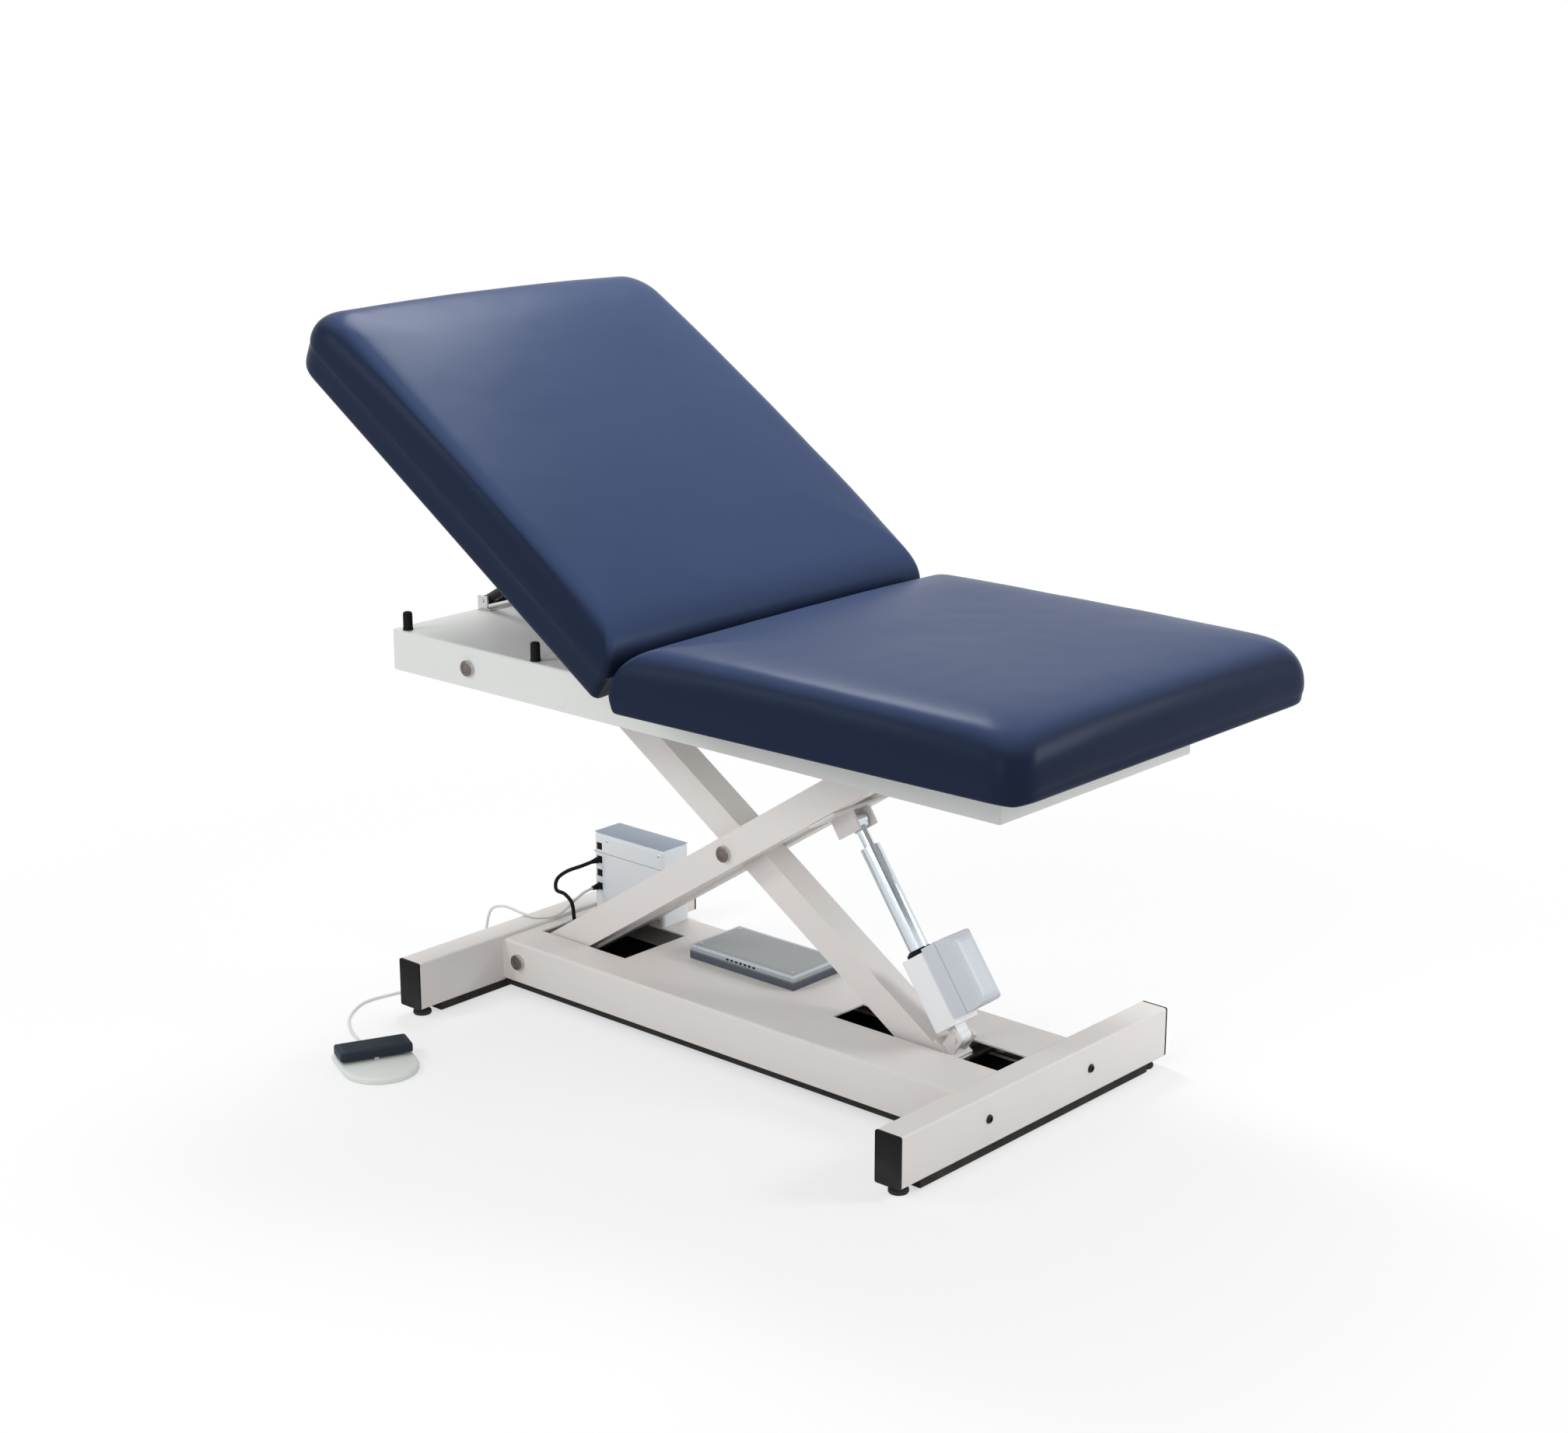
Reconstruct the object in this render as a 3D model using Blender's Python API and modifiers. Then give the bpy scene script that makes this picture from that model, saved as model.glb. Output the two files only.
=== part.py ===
"""Bariatric treatment table: a welded base on two crossbars, a scissor lift driven by one
linear actuator, a top frame, a fixed seat section, a hinged backrest held by a pair of gas
struts, and a foot pedal on a cord. Metres, +Z up, head end towards -X, near side towards -Y."""

import math

import bmesh
import bpy
from mathutils import Matrix, Vector

# Driving dimensions, clearances first
SEAT_GAP = 0.0003          # between pieces that rest on each other
RUN_GAP = 0.0003           # radial gap of a pin in its bore
ARM_SIDE_GAP = 0.0015      # between the scissor arms, side to side
SLIDE_GAP = 0.0005         # between a slide block and its rail

# Base
CROSSBAR_LENGTH = 0.816
CROSSBAR_HEIGHT = 0.1005
CROSSBAR_DEPTH = 0.0588
CROSSBAR_WALL = 0.003
CROSSBAR_BOTTOM = 0.0214
CROSSBAR_ROUND = 0.004
BODY_LENGTH = 1.2064       # between the inner faces of the crossbars
BODY_HEAD_X = -0.6326      # inner face of the head crossbar
BODY_WIDTH = 0.3486
BODY_BOTTOM = 0.0272
BODY_TOP = 0.1143
BODY_WALL = 0.004
BODY_ROUND = 0.006
STRIP_BOTTOM = 0.005
STRIP_INSET = 0.003
STRIP_END = 0.055          # bare length at each end, where the foot stands
CAP_FLANGE = 0.004
CAP_PLUG = 0.022
CAP_FIT = 0.0006
FOOT_RADIUS = 0.019
FOOT_PAD_HEIGHT = 0.012
FOOT_STUD_RADIUS = 0.006
FOOT_INSET = 0.027         # foot centre from the crossbar's end
CROSSBAR_BOLT_Y = 0.156
CROSSBAR_BOLT_Z = 0.0745
CROSSBAR_BOLT_RADIUS = 0.0085
CROSSBAR_BOLT_HEAD = 0.004
ARM_SLOT = (-0.606, -0.360)
ARM_SLOT_WIDTH = 0.178
INNER_SLOT = (0.165, 0.568)
INNER_SLOT_WIDTH = 0.090

# Scissor lift
PIVOT_X = -0.588           # head-side pivots, one above the other
BASE_PIVOT_Z = 0.073
ARM_LENGTH = 1.201         # pivot to pivot
LIFT_ANGLE = math.radians(33.05)
ARM_HEIGHT = 0.0635
OUTER_ARM_WIDTH = 0.0508
INNER_ARM_WIDTH = 0.0635
ARM_WALL = 0.004
ARM_END = 0.015            # tube past its end pivots
SHAFT_RADIUS = 0.0125
SHAFT_HEAD_RADIUS = 0.0165
SHAFT_HEAD = 0.007
BLOCK_LENGTH = 0.046
BLOCK_HEIGHT = 0.030
BLOCK_WIDTH = 0.029
RAIL_WALL = 0.004
RAIL_LIP = 0.034           # rail depth, wall to open side
RAIL_RUN = (0.380, 0.572)

# Top frame
FRAME_HEAD_X = -0.817
FRAME_FOOT_X = 0.741
FRAME_WIDTH = 0.5746
FRAME_HEIGHT = 0.085
FRAME_PLATE = 0.004
FRAME_WALL = 0.003
FRAME_PIVOT_DROP = 0.0435  # pivot below the plate's top face
FRAME_ROUND = 0.005
BUMPER_RADIUS = 0.0105
BUMPER_HEIGHT = 0.038
BUMPER_INSET = 0.0134
BUMPER_X = (-0.783, -0.407)

# Padded sections
SECTION_WIDTH = 0.906
BOARD_THICKNESS = 0.019
SECTION_TOP = 0.139        # top of the seat padding's edge above the frame's plate
BACK_FULLER = 0.010        # how much fuller the backrest's padding is
CROWN = 0.008
CORNER_RADIUS = 0.060
HINGE_CORNER = 0.014
HINGE_X = -0.045
HINGE_RISE = 0.0285        # hinge axis above the frame's plate
SECTION_GAP = 0.024        # between the flat sections at the hinge
SEAT_LENGTH = 0.932
BACK_LENGTH = 0.998
BACK_ANGLE = math.radians(33.5)
BOARD_INSET = 0.004
PANEL_INSET = 0.057        # backrest panel inside its padded skirt
SKIRT_WIDTH = 0.050
SKIRT_INSET = 0.006
SKIRT_ROUND = 0.012
HINGE_SLOPE = 0.010        # how far the hinge ends lean back at the top
SKIRT_CORNER = 0.032

# Hinge of the backrest
BARREL_RADIUS = 0.0085
HINGE_PIN_RADIUS = 0.0042
KNUCKLE_LENGTH = 0.060
HINGE_SPAN = 0.240        # half length of the hinge
LEAF_THICKNESS = 0.003
LEAF_LENGTH = 0.070
DRAW_IN = 0.004            # how far the padding's sides pull in between their corners

# Gas struts
STRUT_Y = 0.037
STRUT_FOOT_X = -0.800
STRUT_RISE = 0.019         # strut pivots above the plate when the backrest lies flat
STRUT_REACH = 0.420        # upper pivot from the hinge, along the backrest
STRUT_RADIUS = 0.011
STRUT_ROD_RADIUS = 0.005
STRUT_CYLINDER_LENGTH = 0.300
STRUT_ROD_START = 0.285
STRUT_EYE_RADIUS = 0.0105
STRUT_EYE_WIDTH = 0.020
STRUT_PIN_RADIUS = 0.004
CHEEK_THICKNESS = 0.004
CHEEK_Y = 0.0505
CHEEK_LENGTH = 0.044

# Actuator
ACT_FOOT_ALONG = 0.0120    # lower pin back from the inner arm's lower pivot, along the arm
ACT_FOOT_RISE = 0.0661      # and off the arm's centre line
ACT_HEAD_ALONG = 0.2833     # upper pin from the scissor's centre, along the outer arm
ACT_HEAD_DROP = 0.0597      # and below the arm's centre line
ACT_PIN_RADIUS = 0.006
GEAR_WIDTH = 0.072
GEAR_LOW = 0.028
GEAR_HIGH = 0.036
GEAR_SPAN = (0.024, 0.172)
GEAR_ROUND = 0.010
TANG_WIDTH = 0.030
TANG_RADIUS = 0.014
MOTOR_SPAN = (0.034, 0.178)
MOTOR_HEIGHT = 0.080
MOTOR_ROUND = 0.022
PISTON_RADIUS = 0.020
PISTON_SPAN = (0.148, 0.398)
ROD_END_RADIUS = 0.011
ROD_EYE_RADIUS = 0.015
ROD_EYE_WIDTH = 0.028
BRACKET_THICKNESS = 0.006

# Controls
CONTROL_BOX = ((-0.6315, 0.0920), (-0.425, 0.1700))
CONTROL_BOX_HEIGHT = 0.170
CONTROL_BOX_ROUND = 0.008
SOCKET_X = -0.615
SOCKET_PITCH = 0.030
SOCKET_COUNT = 4
SOCKET_SIZE = 0.016
SOCKET_DEPTH = 0.004
SOCKET_MARGIN = 0.030      # top socket below the control box's lid
POWER_UNIT = ((-0.262, 0.002), (0.020, 0.150))
POWER_UNIT_HEIGHT = 0.031
POWER_UNIT_ROUND = 0.012
PEDAL_CENTRE = (-0.577, -0.5925)
PEDAL_TURN = math.radians(-24.3)
PEDAL_WIDTH = 0.150
PEDAL_DEPTH = 0.165
PEDAL_HEIGHT = 0.014
TREADLE_DEPTH = 0.058
TREADLE_HEIGHT = 0.018
TREADLE_LIFT = 0.0065      # free travel under each end of the treadle
TREADLE_SETBACK = 0.012
TREADLE_RIDGE = 0.004      # half width of the ridge it rocks on
CORD_RADIUS = 0.003
CABLE_RADIUS = 0.004
GLAND_RADIUS = 0.006
GLAND_LENGTH = 0.024

# Places that follow from the driving dimensions
BODY_FOOT_X = BODY_HEAD_X + BODY_LENGTH
BODY_SIDE = BODY_WIDTH / 2
FRAME_SIDE = FRAME_WIDTH / 2
ARM_HALF = ARM_LENGTH / 2
OUTER_ARM_NEAR = INNER_ARM_WIDTH / 2 + ARM_SIDE_GAP
OUTER_ARM_FAR = OUTER_ARM_NEAR + OUTER_ARM_WIDTH
BORE_RADIUS = SHAFT_RADIUS + RUN_GAP
FRAME_PIVOT_Z = BASE_PIVOT_Z + ARM_LENGTH * math.sin(LIFT_ANGLE)
SLIDER_X = PIVOT_X + ARM_LENGTH * math.cos(LIFT_ANGLE)
SCISSOR_X = PIVOT_X + ARM_HALF * math.cos(LIFT_ANGLE)
SCISSOR_Z = BASE_PIVOT_Z + ARM_HALF * math.sin(LIFT_ANGLE)
PLATE_TOP = FRAME_PIVOT_Z + FRAME_PIVOT_DROP
HINGE_Z = PLATE_TOP + HINGE_RISE
SECTION_SIDE = SECTION_WIDTH / 2
PANEL_LOW = BUMPER_HEIGHT + SEAT_GAP - HINGE_RISE
PAD_LOW = PANEL_LOW + BOARD_THICKNESS + SEAT_GAP
PAD_HIGH = SECTION_TOP + BACK_FULLER - HINGE_RISE
SKIRT_LOW = SEAT_GAP - HINGE_RISE


def on_arm(angle, along, rise):
    """A point in the XZ plane from an arm's pivot, along the arm and square to it."""
    x = along * math.cos(angle) - rise * math.sin(angle)
    z = along * math.sin(angle) + rise * math.cos(angle)
    return x, z


def middle_of_box():
    """Where the middle of the whole object's plan box lies from the base's own axes."""
    flat_head = on_arm(-BACK_ANGLE, SKIRT_INSET - SECTION_GAP / 2 - BACK_LENGTH, SKIRT_LOW)
    head_x = HINGE_X + flat_head[0]
    foot_x = HINGE_X + SECTION_GAP / 2 + SEAT_LENGTH
    round_centre = (PEDAL_DEPTH - PEDAL_WIDTH / 2) * math.sin(PEDAL_TURN)
    near_y = PEDAL_CENTRE[1] + round_centre - PEDAL_WIDTH / 2
    return (head_x + foot_x) / 2, (near_y + SECTION_SIDE) / 2


# Scene helpers
for old in list(bpy.data.objects):
    bpy.data.objects.remove(old)

PARTS = bpy.data.collections.new("bariatric_treatment_table")
CUTTERS = bpy.data.collections.new("cutters")
bpy.context.scene.collection.children.link(PARTS)
bpy.context.scene.collection.children.link(CUTTERS)


def material(name, colour, roughness, metallic=0.0):
    made = bpy.data.materials.new(name)
    made.use_nodes = True
    shader = made.node_tree.nodes["Principled BSDF"]
    shader.inputs["Base Color"].default_value = (*colour, 1.0)
    shader.inputs["Roughness"].default_value = roughness
    shader.inputs["Metallic"].default_value = metallic
    return made


PAINT = ("painted_steel", (0.74, 0.71, 0.69), 0.40, 0.0)
FRAME_PAINT = ("painted_frame", (0.72, 0.72, 0.69), 0.42, 0.0)
STEEL = ("bright_steel", (0.62, 0.60, 0.57), 0.28, 1.0)
BLACK_PLASTIC = ("black_plastic", (0.022, 0.021, 0.026), 0.50, 0.0)
RUBBER = ("black_rubber", (0.015, 0.015, 0.016), 0.70, 0.0)
NYLON = ("white_nylon", (0.80, 0.80, 0.77), 0.45, 0.0)
VINYL = ("navy_vinyl", (0.060, 0.085, 0.170), 0.38, 0.0)
PLYWOOD = ("plywood", (0.50, 0.36, 0.22), 0.70, 0.0)
GREY_PLASTIC = ("grey_plastic", (0.66, 0.70, 0.73), 0.45, 0.0)
UNIT_GREY = ("unit_grey", (0.36, 0.40, 0.43), 0.50, 0.0)
CORD_WHITE = ("cord_white", (0.78, 0.79, 0.74), 0.50, 0.0)
PEDAL_DARK = ("pedal_dark", (0.035, 0.050, 0.080), 0.45, 0.0)
CHROME = ("chromed_steel", (0.80, 0.82, 0.85), 0.12, 1.0)


def empty(name, location, turn_y=0.0, turn_z=0.0, parent=None):
    """An empty on a joint's axis, given in its parent's own axes."""
    made = bpy.data.objects.new(name, None)
    made.location = location
    made.rotation_euler = (0.0, turn_y, turn_z)
    made.parent = parent
    PARTS.objects.link(made)
    return made


def adopt(name, mesh_maker, finish, parent):
    """Makes the named part from a bmesh and hangs it on its parent."""
    mesh = bpy.data.meshes.new(name)
    mesh_maker.to_mesh(mesh)
    mesh_maker.free()
    made = bpy.data.objects.new(name, mesh)
    made.parent = parent
    if finish is None:
        CUTTERS.objects.link(made)
        made.hide_render = True
        made.display_type = "WIRE"
    else:
        PARTS.objects.link(made)
        mesh.materials.append(material(name + "_finish", *finish[1:]))
        mesh.shade_smooth()
        mesh.set_sharp_from_angle(angle=math.radians(35))
    return made


def box_bmesh(low, high):
    made = bmesh.new()
    size = [h - l for l, h in zip(low, high)]
    middle = [(h + l) / 2 for l, h in zip(low, high)]
    bmesh.ops.create_cube(made, size=1.0)
    bmesh.ops.scale(made, vec=size, verts=made.verts)
    bmesh.ops.translate(made, vec=middle, verts=made.verts)
    return made


def box(name, low, high, finish, parent, bevel=0.0, segments=2):
    made = adopt(name, box_bmesh(low, high), finish, parent)
    if bevel:
        soften(made, bevel, segments)
    return made


def soften(made, width, segments=2):
    modifier = made.modifiers.new("rounded_edges", "BEVEL")
    modifier.width = width
    modifier.segments = segments
    modifier.limit_method = "ANGLE"
    modifier.angle_limit = math.radians(50)


def rod_bmesh(start, end, radius, end_radius=None, sides=24):
    """A round bar between two points, or a cone frustum."""
    made = bmesh.new()
    run = Vector(end) - Vector(start)
    bmesh.ops.create_cone(made, cap_ends=True, segments=sides, radius1=radius,
                          radius2=radius if end_radius is None else end_radius, depth=run.length)
    turn = run.to_track_quat("Z", "Y").to_matrix().to_4x4()
    middle = Matrix.Translation((Vector(start) + Vector(end)) / 2)
    bmesh.ops.transform(made, matrix=middle @ turn, verts=made.verts)
    return made


def rod(name, start, end, radius, finish, parent, sides=24):
    return adopt(name, rod_bmesh(start, end, radius, sides=sides), finish, parent)


def combine(target, operation, other):
    """A Boolean with another object, which is then kept as a hidden helper."""
    modifier = target.modifiers.new(operation.lower() + "_" + other.name, "BOOLEAN")
    modifier.operation = operation
    modifier.object = other
    modifier.solver = "EXACT"
    return target


def cut_box(target, name, low, high):
    return combine(target, "DIFFERENCE", box(name, low, high, None, target.parent))


def cut_rod(target, name, start, end, radius, sides=24):
    return combine(target, "DIFFERENCE", rod(name, start, end, radius, None, target.parent, sides))


def add_box(target, name, low, high):
    return combine(target, "UNION", box(name, low, high, None, target.parent))


def add_rod(target, name, start, end, radius, sides=24):
    return combine(target, "UNION", rod(name, start, end, radius, None, target.parent, sides))


def box_tube(name, low, high, wall, along, finish, parent, bevel=0.0):
    """A rectangular tube, open at both ends along one axis (0, 1 or 2)."""
    made = box(name, low, high, finish, parent, bevel)
    past = 0.01
    inner_low = [l - past if i == along else l + wall for i, l in enumerate(low)]
    inner_high = [h + past if i == along else h - wall for i, h in enumerate(high)]
    return cut_box(made, name + "_hollow", inner_low, inner_high)


def headed_shaft(name, pivot, side, finish, parent, x=0.0):
    """A shaft along Y with a button head outside each wall that it passes."""
    made = rod(name, (x, -side - SHAFT_HEAD / 2, pivot), (x, side + SHAFT_HEAD / 2, pivot),
               SHAFT_RADIUS, finish, parent)
    for label, sign in (("near", -1), ("far", 1)):
        start = sign * (side + SEAT_GAP)
        add_rod(made, f"{name}_{label}_head", (x, start, pivot),
                (x, start + sign * SHAFT_HEAD, pivot), SHAFT_HEAD_RADIUS)
    return made


# Frames of reference: the whole object, then one empty on each joint's axis
MIDDLE = middle_of_box()
ROOT = empty("table_origin", (-MIDDLE[0], -MIDDLE[1], 0.0))
LIFT_AXIS = empty("lift_axis", (PIVOT_X, 0.0, BASE_PIVOT_Z), -LIFT_ANGLE, parent=ROOT)
INNER_AXIS = empty("frame_pivot_axis", (PIVOT_X, 0.0, FRAME_PIVOT_Z), LIFT_ANGLE, parent=ROOT)
FRAME_AXIS = empty("top_frame_axis", (PIVOT_X, 0.0, FRAME_PIVOT_Z), parent=ROOT)
UPPER_SLIDE = empty("upper_slider_axis", (SLIDER_X, 0.0, FRAME_PIVOT_Z), parent=ROOT)
LOWER_SLIDE = empty("lower_slider_axis", (SLIDER_X, 0.0, BASE_PIVOT_Z), parent=ROOT)
BACK_AXIS = empty("backrest_axis", (HINGE_X, 0.0, HINGE_Z), BACK_ANGLE, parent=ROOT)
PEDAL_FRAME = empty("pedal_frame", (*PEDAL_CENTRE, 0.0), turn_z=PEDAL_TURN, parent=ROOT)

STRUT_FOOT = Vector((STRUT_FOOT_X, 0.0, PLATE_TOP + STRUT_RISE))
_head = on_arm(-BACK_ANGLE, -STRUT_REACH, STRUT_RISE - HINGE_RISE)
STRUT_HEAD = Vector((HINGE_X + _head[0], 0.0, HINGE_Z + _head[1]))
STRUT_RUN = STRUT_HEAD - STRUT_FOOT
STRUT_AXIS = empty("strut_axis", STRUT_FOOT, -math.atan2(STRUT_RUN.z, STRUT_RUN.x), parent=ROOT)

_foot = on_arm(-LIFT_ANGLE, ARM_LENGTH - ACT_FOOT_ALONG, ACT_FOOT_RISE)
ACT_FOOT = Vector((PIVOT_X + _foot[0], 0.0, FRAME_PIVOT_Z + _foot[1]))
_top = on_arm(LIFT_ANGLE, ARM_HALF + ACT_HEAD_ALONG, -ACT_HEAD_DROP)
ACT_HEAD = Vector((PIVOT_X + _top[0], 0.0, BASE_PIVOT_Z + _top[1]))
ACT_RUN = ACT_HEAD - ACT_FOOT
ACT_AXIS = empty("actuator_axis", ACT_FOOT, -math.atan2(ACT_RUN.z, ACT_RUN.x), parent=ROOT)


def rounded_box(name, low, high, finish, parent, width, pick, segments=3):
    """A box with only the chosen edges rounded. pick sees an edge's middle and its run."""
    made = box_bmesh(low, high)
    centre = Vector([(h + l) / 2 for l, h in zip(low, high)])
    chosen = []
    for edge in made.edges:
        ends = [v.co for v in edge.verts]
        if pick((ends[0] + ends[1]) / 2 - centre, ends[1] - ends[0]):
            chosen.append(edge)
    bmesh.ops.bevel(made, geom=chosen, offset=width, segments=segments, profile=0.5,
                    affect="EDGES", clamp_overlap=True)
    return adopt(name, made, finish, parent)


def plate_bmesh(outline, low, high):
    """A flat plate from a plan outline."""
    made = bmesh.new()
    base = [made.verts.new((x, y, low)) for x, y in outline]
    face = made.faces.new(base)
    grown = bmesh.ops.extrude_face_region(made, geom=[face])
    lifted = [item for item in grown["geom"] if isinstance(item, bmesh.types.BMVert)]
    bmesh.ops.translate(made, vec=(0.0, 0.0, high - low), verts=lifted)
    bmesh.ops.recalc_face_normals(made, faces=made.faces)
    return made


def tube_along(name, points, radius, finish, parent, sides=2):
    """A round cord along a run of points."""
    curve = bpy.data.curves.new(name, "CURVE")
    curve.dimensions = "3D"
    curve.bevel_depth = radius
    curve.bevel_resolution = sides
    curve.use_fill_caps = True
    run = curve.splines.new("POLY")
    run.points.add(len(points) - 1)
    for spot, place in zip(run.points, points):
        spot.co = (*place, 1.0)
    made = bpy.data.objects.new(name, curve)
    made.parent = parent
    curve.materials.append(material(name + "_finish", *finish[1:]))
    PARTS.objects.link(made)
    return made


def smooth_run(points, steps):
    """Points on a soft curve through the given ones."""
    given = [Vector(p) for p in points]
    given = [2 * given[0] - given[1]] + given + [2 * given[-1] - given[-2]]
    out = []
    for i in range(1, len(given) - 2):
        a, b, c, d = given[i - 1:i + 3]
        for k in range(steps):
            t = k / steps
            spot = 0.5 * (2 * b + (c - a) * t + (2 * a - 5 * b + 4 * c - d) * t * t
                          + (3 * b - a - 3 * c + d) * t * t * t)
            out.append(spot)
    out.append(given[-2])
    return out


# Padding: one row per level, as the share of its height and how far its edges draw in,
# first at the three free sides and then at the hinge end, which is rounder
PAD_LEVELS = ((0.0, 0.005, 0.0), (0.07, 0.001, 0.0), (0.26, 0.0, 0.001), (0.44, 0.002, 0.006),
              (0.60, 0.007, 0.014), (0.74, 0.015, 0.026), (0.86, 0.027, 0.044), (0.94, 0.043, 0.068),
              (1.0, 0.072, 0.110))
CROWN_LEVELS = ((0.55, 0.125, 0.155), (0.88, 0.195, 0.220), (1.0, 0.270, 0.280))


def pad_ring(hinge_x, length, way, side, edge, hinge_edge, draw):
    """One level of a padded section: a rounded oblong with its sides pulled in between."""
    x0 = hinge_edge
    x1 = length - edge
    y1 = side - edge
    free = max(CORNER_RADIUS - 0.5 * edge, 0.020)
    tight = HINGE_CORNER
    ring = []
    corners = ((x1, -y1, free, 270), (x1, y1, free, 0), (x0, y1, tight, 90), (x0, -y1, tight, 180))
    for i, (cx, cy, r, turn) in enumerate(corners):
        mx = cx - r if cx == x1 else cx + r
        my = cy - r if cy > 0 else cy + r
        for k in range(5):
            a = math.radians(turn + 22.5 * k)
            ring.append((mx + r * math.cos(a), my + r * math.sin(a)))
        here = Vector(ring[-1])
        nx, ny, nr, nturn = corners[(i + 1) % 4]
        bx = nx - nr if nx == x1 else nx + nr
        by = ny - nr if ny > 0 else ny + nr
        there = Vector((bx + nr * math.cos(math.radians(nturn)), by + nr * math.sin(math.radians(nturn))))
        count = 6 if i in (1, 3) else 4
        inward = Vector((-(there - here).y, (there - here).x)).normalized()
        for k in range(1, count):
            t = k / count
            pull = 0.0 if i == 2 else draw * math.sin(math.pi * t)
            spot = here.lerp(there, t) + inward * pull
            ring.append((spot.x, spot.y))
    return [(hinge_x + way * x, way * y) for x, y in ring]


def padding(name, hinge_x, length, way, low, high, axis_height, finish, parent):
    """A padded section as a loft: drawn in at the bottom, full at the side, crowned on top."""
    made = bmesh.new()
    side = SECTION_SIDE
    levels = []
    for share, edge, hinge_edge in PAD_LEVELS:
        height = low + share * (high - low)
        over = max(0.0, (height - axis_height - 0.020) / (high - axis_height - 0.020))
        lean = HINGE_SLOPE * over ** 1.3 + hinge_edge
        levels.append((height, edge, lean, DRAW_IN if share < 1.0 else 0.0))
    for share, edge, hinge_edge in CROWN_LEVELS:
        levels.append((high + share * CROWN, edge, HINGE_SLOPE + hinge_edge, 0.0))
    rings = []
    for height, edge, lean, draw in levels:
        spots = pad_ring(hinge_x, length, way, side, edge, lean, draw)
        rings.append([made.verts.new((x, y, height)) for x, y in spots])
    for lower, upper in zip(rings, rings[1:]):
        for k in range(len(lower)):
            n = (k + 1) % len(lower)
            made.faces.new((lower[k], lower[n], upper[n], upper[k]))
    made.faces.new(rings[0])
    made.faces.new(rings[-1])
    bmesh.ops.recalc_face_normals(made, faces=made.faces)
    return adopt(name, made, finish, parent)


SIDES = (("near", -1), ("far", 1))


def span(sign, inner, outer):
    """A run across the table, from the middle outwards on one side."""
    return (inner, outer) if sign > 0 else (-outer, -inner)


# Base: two crossbars with caps, feet and floor strips
BAR_HALF = CROSSBAR_LENGTH / 2 - CAP_FLANGE - SEAT_GAP
BAR_TOP = CROSSBAR_BOTTOM + CROSSBAR_HEIGHT
BARS = {"head": (BODY_HEAD_X - CROSSBAR_DEPTH, BODY_HEAD_X),
        "foot": (BODY_FOOT_X, BODY_FOOT_X + CROSSBAR_DEPTH)}


def along_y(middle, run):
    return abs(run.y) > abs(run.x) + abs(run.z)


for end, (bar_low, bar_high) in BARS.items():
    bar = rounded_box(f"{end}_crossbar", (bar_low, -BAR_HALF, CROSSBAR_BOTTOM),
                      (bar_high, BAR_HALF, BAR_TOP), PAINT, ROOT, CROSSBAR_ROUND, along_y)
    cut_box(bar, f"{end}_crossbar_hollow",
            (bar_low + CROSSBAR_WALL, -CROSSBAR_LENGTH, CROSSBAR_BOTTOM + CROSSBAR_WALL),
            (bar_high - CROSSBAR_WALL, CROSSBAR_LENGTH, BAR_TOP - CROSSBAR_WALL))
    box(f"{end}_floor_strip", (bar_low + STRIP_INSET, -BAR_HALF + STRIP_END, STRIP_BOTTOM),
        (bar_high - STRIP_INSET, BAR_HALF - STRIP_END, CROSSBAR_BOTTOM - SEAT_GAP), RUBBER, ROOT)
    for side, sign in SIDES:
        face = span(sign, BAR_HALF + SEAT_GAP, BAR_HALF + SEAT_GAP + CAP_FLANGE)
        cap = rounded_box(f"{end}_end_cap_{side}", (bar_low, face[0], CROSSBAR_BOTTOM),
                          (bar_high, face[1], BAR_TOP), BLACK_PLASTIC, ROOT, CROSSBAR_ROUND, along_y)
        plug = span(sign, BAR_HALF - CAP_PLUG, BAR_HALF + SEAT_GAP + CAP_FLANGE / 2)
        lining = CROSSBAR_WALL + CAP_FIT
        add_box(cap, f"{end}_end_plug_{side}", (bar_low + lining, plug[0], CROSSBAR_BOTTOM + lining),
                (bar_high - lining, plug[1], BAR_TOP - lining))
        foot_x = (bar_low + bar_high) / 2
        foot_y = sign * (BAR_HALF - FOOT_INSET)
        foot = rod(f"levelling_foot_{end}_{side}", (foot_x, foot_y, 0.0),
                   (foot_x, foot_y, FOOT_PAD_HEIGHT), FOOT_RADIUS, RUBBER, ROOT)
        add_rod(foot, f"levelling_stud_{end}_{side}", (foot_x, foot_y, FOOT_PAD_HEIGHT / 2),
                (foot_x, foot_y, CROSSBAR_BOTTOM - SEAT_GAP), FOOT_STUD_RADIUS)

for side, sign in SIDES:
    bolt_x = BODY_FOOT_X + CROSSBAR_DEPTH + SEAT_GAP
    rod(f"foot_crossbar_bolt_{side}", (bolt_x, sign * CROSSBAR_BOLT_Y, CROSSBAR_BOLT_Z),
        (bolt_x + CROSSBAR_BOLT_HEAD, sign * CROSSBAR_BOLT_Y, CROSSBAR_BOLT_Z),
        CROSSBAR_BOLT_RADIUS, BLACK_PLASTIC, ROOT, sides=16)

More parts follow.
